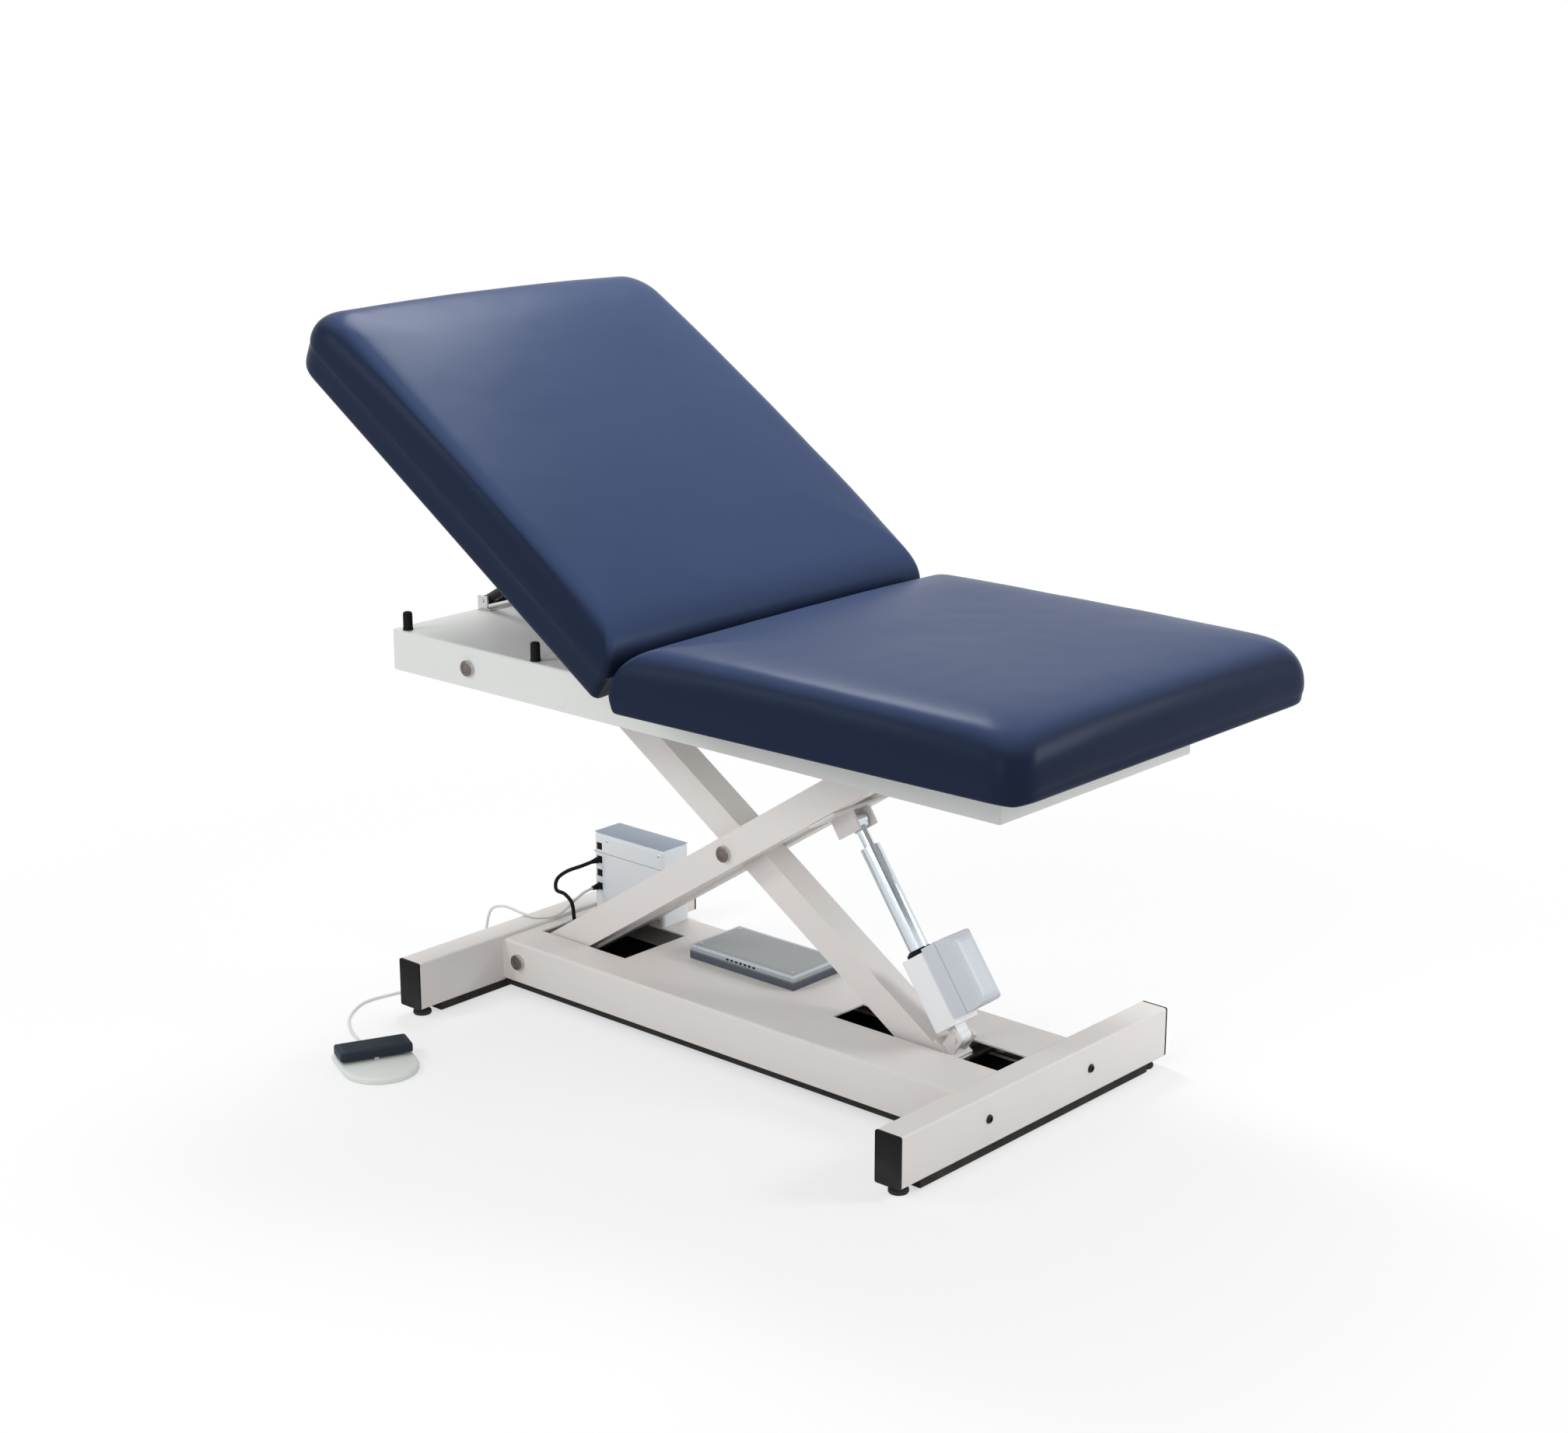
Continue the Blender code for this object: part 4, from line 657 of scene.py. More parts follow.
def build_sky():
    """Lights the table with a pale sky that the camera sees as plain white."""
    world = bpy.data.worlds.new("white_room")
    scene.world = world
    world.use_nodes = True
    tree = world.node_tree
    room = tree.nodes["Background"]
    room.inputs["Color"].default_value = SKY_TINT
    room.inputs["Strength"].default_value = SKY_LEVEL
    white = add_node(tree, "ShaderNodeBackground")
    white.inputs["Color"].default_value = WHITE
    white.inputs["Strength"].default_value = 1.0
    both = add_node(tree, "ShaderNodeMixShader")
    tree.links.new(seen_rays(tree), both.inputs["Fac"])
    tree.links.new(room.outputs[0], both.inputs[1])
    tree.links.new(white.outputs[0], both.inputs[2])
    tree.links.new(both.outputs[0], tree.nodes["World Output"].inputs["Surface"])


def soft_light(name, place, aim, size, power):
    lamp = bpy.data.lights.new(name, "AREA")
    lamp.shape = "SQUARE"
    lamp.size = size
    lamp.energy = power
    holder = bpy.data.objects.new(name, lamp)
    holder.location = place
    holder.rotation_euler = (Vector(aim) - Vector(place)).to_track_quat("-Z", "Y").to_euler()
    holder.visible_camera = False
    scene.collection.objects.link(holder)


build_sky()
for light in LIGHTS:
    soft_light(*light)
print("lights", len(bpy.data.lights))

# %% [markdown]
# ## Paint for the measured solids
# Each solid of the frame gets the finish of what it is made of. A solid's edges are sharp as
# measured, so a narrow bevel is added to the painted steel: rolled tube and bent sheet always
# catch a line of light along their edges. The bevel is a modifier, and the mesh stays as it is.

# %% Finishes on the solids
NODE_FINISH = {
    "base_body": PAINT, "head_crossbar": PAINT, "foot_crossbar": PAINT, "inner_arm": PAINT,
    "outer_arm_near": PAINT, "outer_arm_far": PAINT, "actuator_upper_bracket": PAINT,
    "actuator_foot_bracket": PAINT, "top_frame": FRAME_PAINT, "hinge_rail": STEEL, "hinge_leaf": STEEL,
    "strut_base_bracket": STEEL, "strut_top_bracket": STEEL, "gas_strut_cylinders": BLACK_PAINT,
    "gas_strut_rods": CHROME, "actuator_rod": CHROME, "actuator_housing": WHITE_PLASTIC,
    "actuator_motor": MOTOR_GREY, "control_box": BOX_GREY, "power_unit": UNIT_GREY,
    "pedal_housing": PEDAL_PALE, "pedal_treadle": PEDAL_DARK, "backrest_panel": PLYWOOD,
    "seat_board": SEAT_VINYL, "seat_cushion": SEAT_VINYL, "backrest_cushion": BACK_VINYL,
    "pedal_cord": CORD_PALE, "motor_cable": RUBBER}
# the rubber floor strips under the crossbars also paint the contact shadow below them
NAME_FINISH = (("end_cap", BLACK_PLASTIC), ("floor_strip", RUBBER), ("levelling_foot", RUBBER),
               ("bumper", RUBBER), ("guide_rail", STEEL), ("slide_block", NYLON), ("shaft", STEEL),
               ("bolt", STEEL), ("skirt", BACK_VINYL))
EDGED = ("base_body", "head_crossbar", "foot_crossbar", "inner_arm", "outer_arm_near", "outer_arm_far",
         "top_frame", "actuator_upper_bracket", "actuator_foot_bracket", "strut_base_bracket",
         "control_box", "power_unit")
EDGE_WIDTH = 0.0015
EDGE_FOLD = math.radians(50)                # only folds past this are softened
JOIN_REACH = 0.00002                        # points this close are one corner

for name, node in nodes.items():
    paint = NODE_FINISH.get(name)
    if paint is None:
        paint = next(p for word, p in NAME_FINISH if word in name)
    for place in node.material_slots:
        place.material = paint
for name in EDGED:
    weld = nodes[name].modifiers.new("joined_faces", "WELD")
    weld.merge_threshold = JOIN_REACH
    bevel = nodes[name].modifiers.new("soft_edge", "BEVEL")
    bevel.width = EDGE_WIDTH
    bevel.segments = 2
    bevel.limit_method = "ANGLE"
    bevel.angle_limit = EDGE_FOLD
    bevel.harden_normals = True
print("painted", len(nodes), "solids,", len(EDGED), "with softened edges")

# %% [markdown]
# ## The leads
# The foot pedal's lead leaves a rubber sleeve at the back of the pedal, lies in a slack loop on
# the floor, climbs over the crossbar and ends in the lowest socket of the control box. A second,
# thicker lead runs from the box down into the base. A lead is a round section on a smooth line,
# so the line is all there is to draw: a few stops, and a curve through them.

# %% Routes of the leads
PEDAL_TURN = math.radians(-24.3)
PEDAL = Matrix.Translation(TABLE + Vector((-0.577, -0.5925, 0.0))) @ Matrix.Rotation(PEDAL_TURN, 4, "Z")
PEDAL_EXIT = PEDAL @ Vector((-0.0243, 0.0, 0.007))
PEDAL_TAIL = PEDAL @ Vector((-0.054, 0.0, 0.0045))
FLOOR_LEAD = 0.0036                         # height of the lead's middle where it lies on the floor
LEAD_STEPS = 10                             # points between one stop and the next
floor_stops = [(-0.690, -0.542), (-0.749, -0.496), (-0.788, -0.425), (-0.780, -0.350), (-0.758, -0.270),
               (-0.752, -0.180)]
rise_stops = [(-0.775, -0.110, 0.012), (-0.796, -0.078, 0.060), (-0.786, -0.070, 0.112),
              (-0.745, -0.068, 0.130), (-0.690, -0.066, 0.1263), (-0.650, -0.058, 0.1257),
              (-0.625, -0.020, 0.1293), (-0.616, 0.040, 0.1606), (-0.615, 0.080, 0.1646),
              (-0.615, 0.0956, 0.1646)]
motor_stops = [(-0.615, 0.0956, 0.2246), (-0.615, 0.070, 0.2246), (-0.625, 0.048, 0.2186),
               (-0.652, 0.030, 0.205), (-0.666, 0.014, 0.188), (-0.652, -0.002, 0.172),
               (-0.622, -0.006, 0.170), (-0.602, -0.005, 0.154), (-0.598, -0.003, 0.120),
               (-0.598, -0.002, 0.096)]
pedal_run = [PEDAL_EXIT, PEDAL_TAIL]
pedal_run += [TABLE + Vector((x, y, FLOOR_LEAD)) for x, y in floor_stops]
pedal_run += [TABLE + Vector(stop) for stop in rise_stops]
pedal_run = soft_run(pedal_run, LEAD_STEPS)
motor_run = soft_run([TABLE + Vector(stop) for stop in motor_stops], LEAD_STEPS)
print("pedal lead", round(run_length(pedal_run), 3), "m, motor lead", round(run_length(motor_run), 3), "m")

# %% [markdown]
# ## Plugs and sleeve
# A lead never simply ends. It leaves the pedal through a rubber sleeve, and it enters a socket with
# a round plug. Both have ribs that let the lead bend without a sharp kink, and both are turned.

# %% Leads, plugs and sleeve
PEDAL_LEAD_RADIUS = 0.003
MOTOR_LEAD_RADIUS = 0.004
SLEEVE = [(0.0052, 0.0), (0.0052, 0.004), (0.0046, 0.006), (0.0050, 0.008), (0.0043, 0.010),
          (0.0047, 0.012), (0.0040, 0.014), (0.0043, 0.016), (0.0035, 0.020), (0.0032, 0.022)]
PLUG = [(0.0066, 0.0), (0.0068, 0.001), (0.0068, 0.016), (0.0060, 0.018), (0.0050, 0.020), (0.0054, 0.022),
        (0.0046, 0.024), (0.0050, 0.026), (0.0043, 0.029)]
PLUG_REACH = 0.0018                         # how deep a plug sits in its socket
PLUG_SIGHT = 8                              # points along the lead that a plug lines up with
SLEEVE_SEAT = PEDAL @ Vector((-0.0245, 0.0, 0.0070))
FITTING_SIDES = 24


def plug(name, end, before, paint):
    """A round plug pushed into a socket, with its ribbed tail along the lead."""
    away = (Vector(before) - Vector(end)).normalized()
    return turned(name, PLUG, Vector(end) - away * PLUG_REACH, away, "base", paint, sides=FITTING_SIDES)


pedal_lead = lead("pedal_lead", pedal_run, PEDAL_LEAD_RADIUS, "base", CORD_PALE)
motor_lead = lead("motor_lead", motor_run, MOTOR_LEAD_RADIUS, "base", RUBBER)
pedal_sleeve = turned("pedal_sleeve", SLEEVE, SLEEVE_SEAT, PEDAL_TAIL - PEDAL_EXIT, "base", RUBBER,
                      sides=FITTING_SIDES)
pedal_plug = plug("pedal_plug", pedal_run[-1], pedal_run[-PLUG_SIGHT], BLACK_PLASTIC)
motor_plug = plug("motor_plug", motor_run[0], motor_run[PLUG_SIGHT], BLACK_PLASTIC)
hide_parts("pedal_cord")
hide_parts("motor_cable")
print("leads of", len(pedal_run), "and", len(motor_run), "points")

# %% [markdown]
# ## The padded sections
# Each section is foam over a board with one sheet of vinyl drawn tightly over it, so it has no
# seams or piping on top. Tight vinyl gives full, rounded edges, a low crown, and sides that pull
# in a little between the corners. A rounded box would be too even for that. So the skin is made
# as rings, one inside the next, from the underside out, round the edge and in over the top. This
# cell makes one ring: an oblong with two wide corners at the free end and two tight ones at the
# hinge.

# %% One ring of a section
SIDE = 0.453                                # half the width of both sections
END_POINTS = 40
LONG_POINTS = 44
ARC_POINTS = 9


def oblong(u0, u1, v1, free, tight, draw):
    """A rounded oblong from the hinge end u0 to the free end u1, with a fixed count of points."""
    corners = ((u1, -v1, free, 270), (u1, v1, free, 0), (u0, v1, tight, 90), (u0, -v1, tight, 180))
    arcs = []
    for n, (cu, cv, r, turn) in enumerate(corners):
        mu = cu - r if n < 2 else cu + r
        mv = cv - r if n in (1, 2) else cv + r
        angles = [math.radians(turn + 90 * k / (ARC_POINTS - 1)) for k in range(ARC_POINTS)]
        arcs.append([Vector((mu + r * math.cos(a), mv + r * math.sin(a))) for a in angles])
    ring = []
    for i, arc in enumerate(arcs):
        ring += [(spot, i == 2 and k == ARC_POINTS - 1) for k, spot in enumerate(arc)]
        here = arc[-1]
        there = arcs[(i + 1) % 4][0]
        count = END_POINTS if i in (0, 2) else LONG_POINTS
        inward = Vector((-(there - here).y, (there - here).x)).normalized()
        for k in range(1, count):
            t = k / count
            pull = 0.0 if i == 2 else draw * math.sin(math.pi * t)
            ring.append((here.lerp(there, t) + inward * pull, i == 2))
    return ring


print("points in a ring", 2 * (END_POINTS + LONG_POINTS + 2 * ARC_POINTS - 2))

# %% [markdown]
# ## The rounded edge
# The rings are set by a profile: how high a ring lies, and how far it is drawn in at the sides and
# at the hinge. A smooth curve through the profile gives the rings in between. The hinge end leans
# back a little, so that the two sections don't press on each other.

# %% Rings round the edge
HINGE_SLOPE = 0.010                         # how far the hinge end leans back at the top
LEAN_START = 0.020                          # height over the hinge's axis where it starts to lean
LEAN_POWER = 1.3
DRAW_IN = 0.004                             # how far tight vinyl pulls a side in between its corners
TURN_OVER = 0.020                           # a ring drawn in this far lies on the top
FADE_START = 0.040                          # from here the top no longer follows the sides
FADE_LENGTH = 0.060
CROWN = 0.008                               # how far the middle stands above the edge
EDGE_STEPS = 4
EDGE_PROFILE = ((0.0, 0.005, 0.0), (0.07, 0.001, 0.0), (0.26, 0.0, 0.001), (0.44, 0.002, 0.006),
                (0.60, 0.007, 0.014), (0.74, 0.015, 0.026), (0.86, 0.027, 0.044), (0.94, 0.043, 0.068),
                (1.0, 0.072, 0.110))
TOP_PROFILE = ((0.55, 0.125, 0.178), (0.88, 0.195, 0.245), (1.0, 0.270, 0.310))


def edge_rows(low, high, axis_height, length, softness, bow):
    """Rings of the padding from its lower edge, over the rounded top edge and in over the top."""
    sides, free_end, hinge_end = softness
    marks = [(edge * sides, edge * free_end, low + share * (high - low), hinge * hinge_end)
             for share, edge, hinge in EDGE_PROFILE]
    marks += [(edge, edge, high + share * CROWN, hinge) for share, edge, hinge in TOP_PROFILE]
    rows = []
    for edge, end, height, hinge in soft_run(marks, EDGE_STEPS):
        over = (height - axis_height - LEAN_START) / (high - axis_height - LEAN_START)
        upper = max(0.0, min(1.0, edge / TURN_OVER))
        fading = max(0.0, 1.0 - max(0.0, edge - FADE_START) / FADE_LENGTH)
        draw = (DRAW_IN * (1.0 - upper) - bow * upper) * fading
        lean = HINGE_SLOPE * max(0.0, min(1.0, over)) ** LEAN_POWER
        rows.append((lean + hinge, length - end, SIDE - edge, height, draw))
    return rows


print("marks on the profile", len(EDGE_PROFILE) + len(TOP_PROFILE))

# %% [markdown]
# ## The lids
# The first and the last ring are still open. A fan of thin faces to one point would show as a star
# in the reflection, so an even grid closes each of them, bent to meet the ring on all four sides.

# %% Lids for the first and the last ring
def grid_lid(shape, ring):
    """Shuts a ring with an even grid, so that no point is shared by a fan of thin faces."""
    ends = ARC_POINTS - 1 + END_POINTS
    longs = ARC_POINTS - 1 + LONG_POINTS
    start = ARC_POINTS // 2
    free = [ring[start + i] for i in range(ends + 1)]
    right = [ring[start + ends + j] for j in range(longs + 1)]
    hinge = [ring[start + 2 * ends + longs - i] for i in range(ends + 1)]
    left = [ring[(start - j) % len(ring)] for j in range(longs + 1)]
    grid = [free]
    for j in range(1, longs):
        t = j / longs
        line = [left[j]]
        for i in range(1, ends):
            q = i / ends
            spot = free[i].co * (1 - t) + hinge[i].co * t + left[j].co * (1 - q) + right[j].co * q
            spot -= (free[0].co * (1 - q) + free[-1].co * q) * (1 - t)
            spot -= (hinge[0].co * (1 - q) + hinge[-1].co * q) * t
            line.append(shape.verts.new(spot))
        grid.append(line + [right[j]])
    grid.append(hinge)
    for near, far in zip(grid, grid[1:]):
        for i in range(ends):
            shape.faces.new((near[i], near[i + 1], far[i + 1], far[i]))


print("faces in a lid", (ARC_POINTS - 1 + END_POINTS) * (ARC_POINTS - 1 + LONG_POINTS))

# %% [markdown]
# ## The skin
# The rings are joined into one closed skin. Then it settles: the lower edge is drawn up towards the
# free end, the corners droop, and noise moves the points by about a millimetre, which is enough to
# break a dead flat reflection. Last, a subdivision rounds what is left of the facets.

# %% One skin from the rings
FREE_CORNER = 0.060
HINGE_CORNER = 0.014
CORNER_DROOP = 0.010
DROOP_POWER = 3
UNDER_BAND = 0.050                          # the lower edge is drawn up within this inset
UNDER_SHARE = 0.40                          # and within this share of the height
STILL_SHARE = 0.05                          # below this share the underside stays as it is
RIPPLES = ((5.0, (0.0, 0.0, 0.0), 0.0012),  # scale, shift and height of a noise
           (17.0, (3.0, 1.0, 7.0), 0.0005))
NO_FOLD = math.radians(180)


def settle(shape, low, high, length, under_rise):
    """Moves the points of a skin as drawn vinyl would lie."""
    for vert in shape.verts:
        rise = (vert.co.z - low) / (high - low)
        inset = min(SIDE - abs(vert.co.y), length - vert.co.x)
        drawn_up = max(0.0, 1.0 - inset / UNDER_BAND) * max(0.0, 1.0 - rise / UNDER_SHARE)
        vert.co.z += under_rise * drawn_up * max(0.0, vert.co.x / length)
        if rise < STILL_SHARE:
            continue
        out = abs(vert.co.y / SIDE) ** DROOP_POWER * abs(2 * vert.co.x / length - 1) ** DROOP_POWER
        soft = sum(noise.noise(vert.co * scale + Vector(shift)) * height
                   for scale, shift, height in RIPPLES)
        vert.co += vert.normal * soft
        vert.co.z -= CORNER_DROOP * out * min(1.0, rise)


def section_skin(name, rows, place, skirt_rows, body, low, high, length, cover, under_rise):
    """Lofts the rows into one skin. Skirt rows keep to the padding's underside at the hinge end."""
    shape = bmesh.new()
    rings = []
    for n, (u0, u1, v1, height, draw) in enumerate(rows):
        share = v1 / SIDE
        ring = []
        for spot, at_hinge in oblong(u0, u1, v1, FREE_CORNER * share, HINGE_CORNER * share, draw):
            level = low if (n < skirt_rows and at_hinge) else height
            ring.append(shape.verts.new((spot.x, spot.y, level)))
        rings.append(ring)
    join_rings(shape, rings)
    grid_lid(shape, rings[0])
    grid_lid(shape, rings[-1])
    bmesh.ops.recalc_face_normals(shape, faces=shape.faces)
    shape.normal_update()
    settle(shape, low, high, length, under_rise)
    bmesh.ops.transform(shape, matrix=place, verts=shape.verts)
    bmesh.ops.recalc_face_normals(shape, faces=shape.faces)
    piece = finish_piece(name, shape, body, cover)
    piece.data.set_sharp_from_angle(angle=NO_FOLD)
    rounder = piece.modifiers.new("smooth_skin", "SUBSURF")
    rounder.levels = 1
    rounder.render_levels = 1
    return piece


print("a skin has", len(RIPPLES), "ripples over a crown of", CROWN, "m")

# %% [markdown]
# ## The seat
# The seat lies flat on the tray. Its underside turns up in a small lip before the rounded edge
# begins, and the lower edge rises a little towards the foot end, as it does in the photograph.

# %% Seat
HINGE_LINE = Vector((-0.045, 0.0, 0.79999))
LIP_RINGS = 3                               # rings of the edge's profile that a lip takes the place of
SEAT_START = -0.033
SEAT_LENGTH = 0.932
SEAT_UNDER = 0.7720
SEAT_LOW = 0.7911
SEAT_HIGH = 0.9105
SEAT_SOFTNESS = (1.15, 1.15, 1.20)          # of the sides, the free end and the hinge end
SEAT_UNDER_RISE = 0.013
SEAT_LIP = ((0.010, 0.0, 0.0), (0.007, 0.0008, 0.0), (0.004, 0.0045, 0.001), (0.003, 0.011, 0.002))
seat_rows = [(inset, SEAT_LENGTH - inset, SIDE - inset, SEAT_UNDER + rise, draw)
             for inset, rise, draw in SEAT_LIP]
seat_rows += edge_rows(SEAT_LOW, SEAT_HIGH, HINGE_LINE.z, SEAT_LENGTH, SEAT_SOFTNESS, 0.0)[LIP_RINGS:]
seat_place = Matrix.Translation(TABLE + Vector((SEAT_START, 0.0, 0.0)))
seat_pad = section_skin("seat_padding", seat_rows, seat_place, 0, "top_frame", SEAT_UNDER, SEAT_HIGH,
                        SEAT_LENGTH, SEAT_VINYL, SEAT_UNDER_RISE)
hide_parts("seat_cushion", "seat_board")
print("seat skin", len(seat_pad.data.polygons), "faces")

# %% [markdown]
# ## The backrest
# The backrest is made lying flat, with its hinge end first, and is then turned up about the hinge.
# A skirt of padding hangs down on three sides, round the pocket that holds the panel, so its rings
# start inside the pocket, go down and round the skirt's lower edge, and up the outside.

# %% Backrest
BACK_START = -0.012
BACK_LENGTH = 0.998
BACK_LOW = 0.0291
BACK_HIGH = 0.1205
BACK_SOFTNESS = (0.80, 1.15, 1.00)
BACK_BOW = 0.006                            # how far the top's sides swell out
SKIRT_LOW = -0.0282
POCKET_IN = 0.0562
UNDER = BACK_LOW - 0.0001
SKIRT = ((0.010, POCKET_IN, UNDER, 0.0),    # at the hinge, inset, height and draw of a ring
         (0.010, POCKET_IN, BACK_LOW - 0.006, 0.0),
         (0.010, POCKET_IN, SKIRT_LOW + 0.010, 0.0),
         (0.009, 0.053, SKIRT_LOW + 0.003, 0.0),
         (0.008, 0.047, SKIRT_LOW, 0.0),
         (0.006, 0.018, SKIRT_LOW, 0.0),
         (0.005, 0.010, SKIRT_LOW + 0.0035, 0.001),
         (0.004, 0.0065, SKIRT_LOW + 0.011, 0.002),
         (0.004, 0.0045, SKIRT_LOW + 0.030, 0.004),
         (0.004, 0.0030, BACK_LOW - 0.006, 0.004))
back_rows = [(hinge, BACK_LENGTH - inset, SIDE - inset, height, draw)
             for hinge, inset, height, draw in SKIRT]
back_rows += edge_rows(BACK_LOW, BACK_HIGH, 0.0, BACK_LENGTH, BACK_SOFTNESS, BACK_BOW)[LIP_RINGS:]
back_place = (Matrix.Translation(TABLE + HINGE_LINE) @ Matrix.Rotation(BACK_TILT, 4, "Y")
              @ Matrix.Translation((BACK_START, 0.0, 0.0)) @ Matrix.Rotation(math.pi, 4, "Z"))
back_pad = section_skin("backrest_padding", back_rows, back_place, len(SKIRT), "backrest", UNDER, BACK_HIGH,
                        BACK_LENGTH, BACK_VINYL, 0.0)
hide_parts("backrest_cushion", "backrest_skirt_near", "backrest_skirt_far", "backrest_skirt_head")
print("backrest skin", len(back_pad.data.polygons), "faces")

# %% [markdown]
# ## Pivot caps
# The pivots end in low round heads with a pressed ring. A head is turned, so it is one profile,
# and its place is read from the measured shaft.

# %% Pivot caps
PIVOT_CAP = [(0.0160, 0.0), (0.0160, 0.0007), (0.0150, 0.0017), (0.0118, 0.0024), (0.0096, 0.0024),
             (0.0090, 0.0016), (0.0078, 0.0016), (0.0070, 0.0022), (0.0012, 0.0026)]
for node, body in (("base_pivot_shaft", "base"), ("frame_pivot_shaft", "top_frame"),
                   ("centre_pivot_shaft", "outer_arms")):
    low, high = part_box(node)
    for side, y, way in (("near", low.y, -1), ("far", high.y, 1)):
        spot = Vector(((low.x + high.x) / 2, y, (low.z + high.z) / 2))
        cap = turned(f"{node}_cap_{side}", PIVOT_CAP, spot, (0, way, 0), body, PIVOT_STEEL)
print("pivot caps on three shafts")

# %% [markdown]
# ## Levelling feet
# A levelling foot is a rubber pad on a threaded stud with a lock nut. The pad's radii are shares of
# the measured foot's radius, and the stud goes up to the top of the measured foot.

# %% Levelling feet
FOOT_LINE = ((0.80, 0.0), (0.94, 0.0006), (1.0, 0.0025), (1.0, 0.0065), (0.93, 0.0082), (0.60, 0.0104),
             (0.44, 0.0120), (0.30, 0.0122))
STUD_SHARE = 0.30
NUT = [(0.0098, 0.0), (0.0104, 0.0008), (0.0104, 0.0052), (0.0098, 0.0060)]
NUT_LEVEL = 0.0125
for name in [n for n in nodes if n.startswith("levelling_foot_")]:
    low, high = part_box(name)
    spot = Vector(((low.x + high.x) / 2, (low.y + high.y) / 2, low.z))
    wide = (high.x - low.x) / 2
    pad = [(share * wide, height) for share, height in FOOT_LINE] + [(STUD_SHARE * wide, high.z - low.z)]
    foot = turned(f"{name}_turned", pad, spot, (0, 0, 1), "base", RUBBER)
    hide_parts(name)
    lock = turned(f"{name}_nut", NUT, spot + Vector((0, 0, NUT_LEVEL)), (0, 0, 1), "base", STEEL, sides=6)
    print(name, "is", round(2 * wide, 4), "m wide")

# %% [markdown]
# ## Bumpers
# Four rubber bumpers on the tray catch the backrest when it comes down. Each is a plain post with a
# rounded head, so its lower marks are heights and its upper marks are depths below the top.

# %% Bumpers
POST_LINE = ((1.0, 0.0), (1.0, 0.003), (0.93, 0.005))
HEAD_LINE = ((0.93, 0.006), (0.88, 0.0028), (0.74, 0.0008), (0.55, 0.0), (0.02, 0.0))
for name in [n for n in nodes if n.startswith("bumper_")]:
    low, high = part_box(name)
    spot = Vector(((low.x + high.x) / 2, (low.y + high.y) / 2, low.z))
    wide = (high.x - low.x) / 2
    tall = high.z - low.z
    post = [(share * wide, height) for share, height in POST_LINE]
    post += [(share * wide, tall - depth) for share, depth in HEAD_LINE]
    stop = turned(f"{name}_turned", post, spot, (0, 0, 1), "top_frame", RUBBER)
    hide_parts(name)
    print(name, "is", round(tall, 4), "m tall")

# %% [markdown]
# ## Crossbar bolts
# Two bolts with a socket in the head hold the foot crossbar. The profile is in shares of the
# measured head, first of its radius and then of how far it stands out.

# %% Crossbar bolts
BOLT = [(1.0, 0.0), (1.0, 0.25), (0.90, 0.70), (0.66, 1.0), (0.52, 1.0), (0.50, 0.45), (0.02, 0.45)]
for name in [n for n in nodes if n.startswith("foot_crossbar_bolt_")]:
    low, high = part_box(name)
    wide = (high.z - low.z) / 2
    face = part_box("foot_crossbar")[1].x
    spot = Vector((face, (low.y + high.y) / 2, (low.z + high.z) / 2))
    head = [(r * wide, h * (high.x - face)) for r, h in BOLT]
    bolt = turned(f"{name}_turned", head, spot, (1, 0, 0), "base", BLACK_PAINT)
    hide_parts(name)
print("crossbar bolts placed")

# %% [markdown]
# ## Inside and under the base
# Through the slots of the base one sees only dark. A thin dark liner low inside the box section
# paints that shade. A rubber edging runs below each long side and also paints the contact shadow
# there, and a bead of weld closes the joints between the box section and the crossbars.

# %% Painted-shade liner, shadow edging and welds
LINER_IN = 0.008
LINER_LEVELS = (0.0030, 0.0045)             # its two faces, over the base's lower edge
LINER_ROUND = 0.0004
EDGING = 0.0125
EDGING_LANE = (0.0015, 0.0095)              # its two sides, in from the side of the base
EDGING_END = 0.002
EDGING_GAP = 0.0002
EDGING_ROUND = 0.0012
WELD_RADIUS = 0.0022
WELD_END = 0.004
WELD_POINTS = 40
RIPPLE = 0.0004
RIPPLE_TURN = 2.2
low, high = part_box("base_body")
# the liner is a dark sheet that paints the shade seen through the slots of the base
moulded("base_shade_liner", (low.x + LINER_IN, low.y + LINER_IN, low.z + LINER_LEVELS[0]),
        (high.x - LINER_IN, high.y - LINER_IN, low.z + LINER_LEVELS[1]), LINER_ROUND, "base", RUBBER,
        segments=1)
outer, inner = EDGING_LANE
# the rubber edging strips also paint the contact shadow under the base's long sides
for side, y0, y1 in (("near", low.y + outer, low.y + inner), ("far", high.y - inner, high.y - outer)):
    strip = moulded(f"base_shadow_edging_{side}", (low.x + EDGING_END, y0, low.z - EDGING),
                    (high.x - EDGING_END, y1, low.z - EDGING_GAP), EDGING_ROUND, "base", RUBBER)
for end, x in (("head", low.x), ("foot", high.x)):
    for side, y in (("near", low.y), ("far", high.y)):
        beads = []
        for k in range(WELD_POINTS):
            t = k / (WELD_POINTS - 1)
            ripple = RIPPLE * math.sin(k * RIPPLE_TURN)
            level = low.z + WELD_END + t * (high.z - low.z - 2 * WELD_END)
            beads.append(Vector((x + ripple, y + ripple, level)))
        lead(f"weld_{end}_{side}", beads, WELD_RADIUS, "base", PAINT)
print("liner, edging and welds")

# %% [markdown]
# ## Screws and bands
# The control box and the power unit are moulded in two halves, so each shows a seam and a few
# screws. A screw is turned. A seam, a rim of painted highlight or a skirt of painted shade is a
# band round the case: a moulded block a little wider than the case, between two heights, with the
# case itself filling its middle.

# %% Screws and bands
SCREW = [(0.0034, 0.0), (0.0034, 0.0005), (0.0028, 0.0011), (0.0016, 0.0013), (0.0014, 0.0007),
         (0.0002, 0.0007)]
SCREW_SIDES = 20


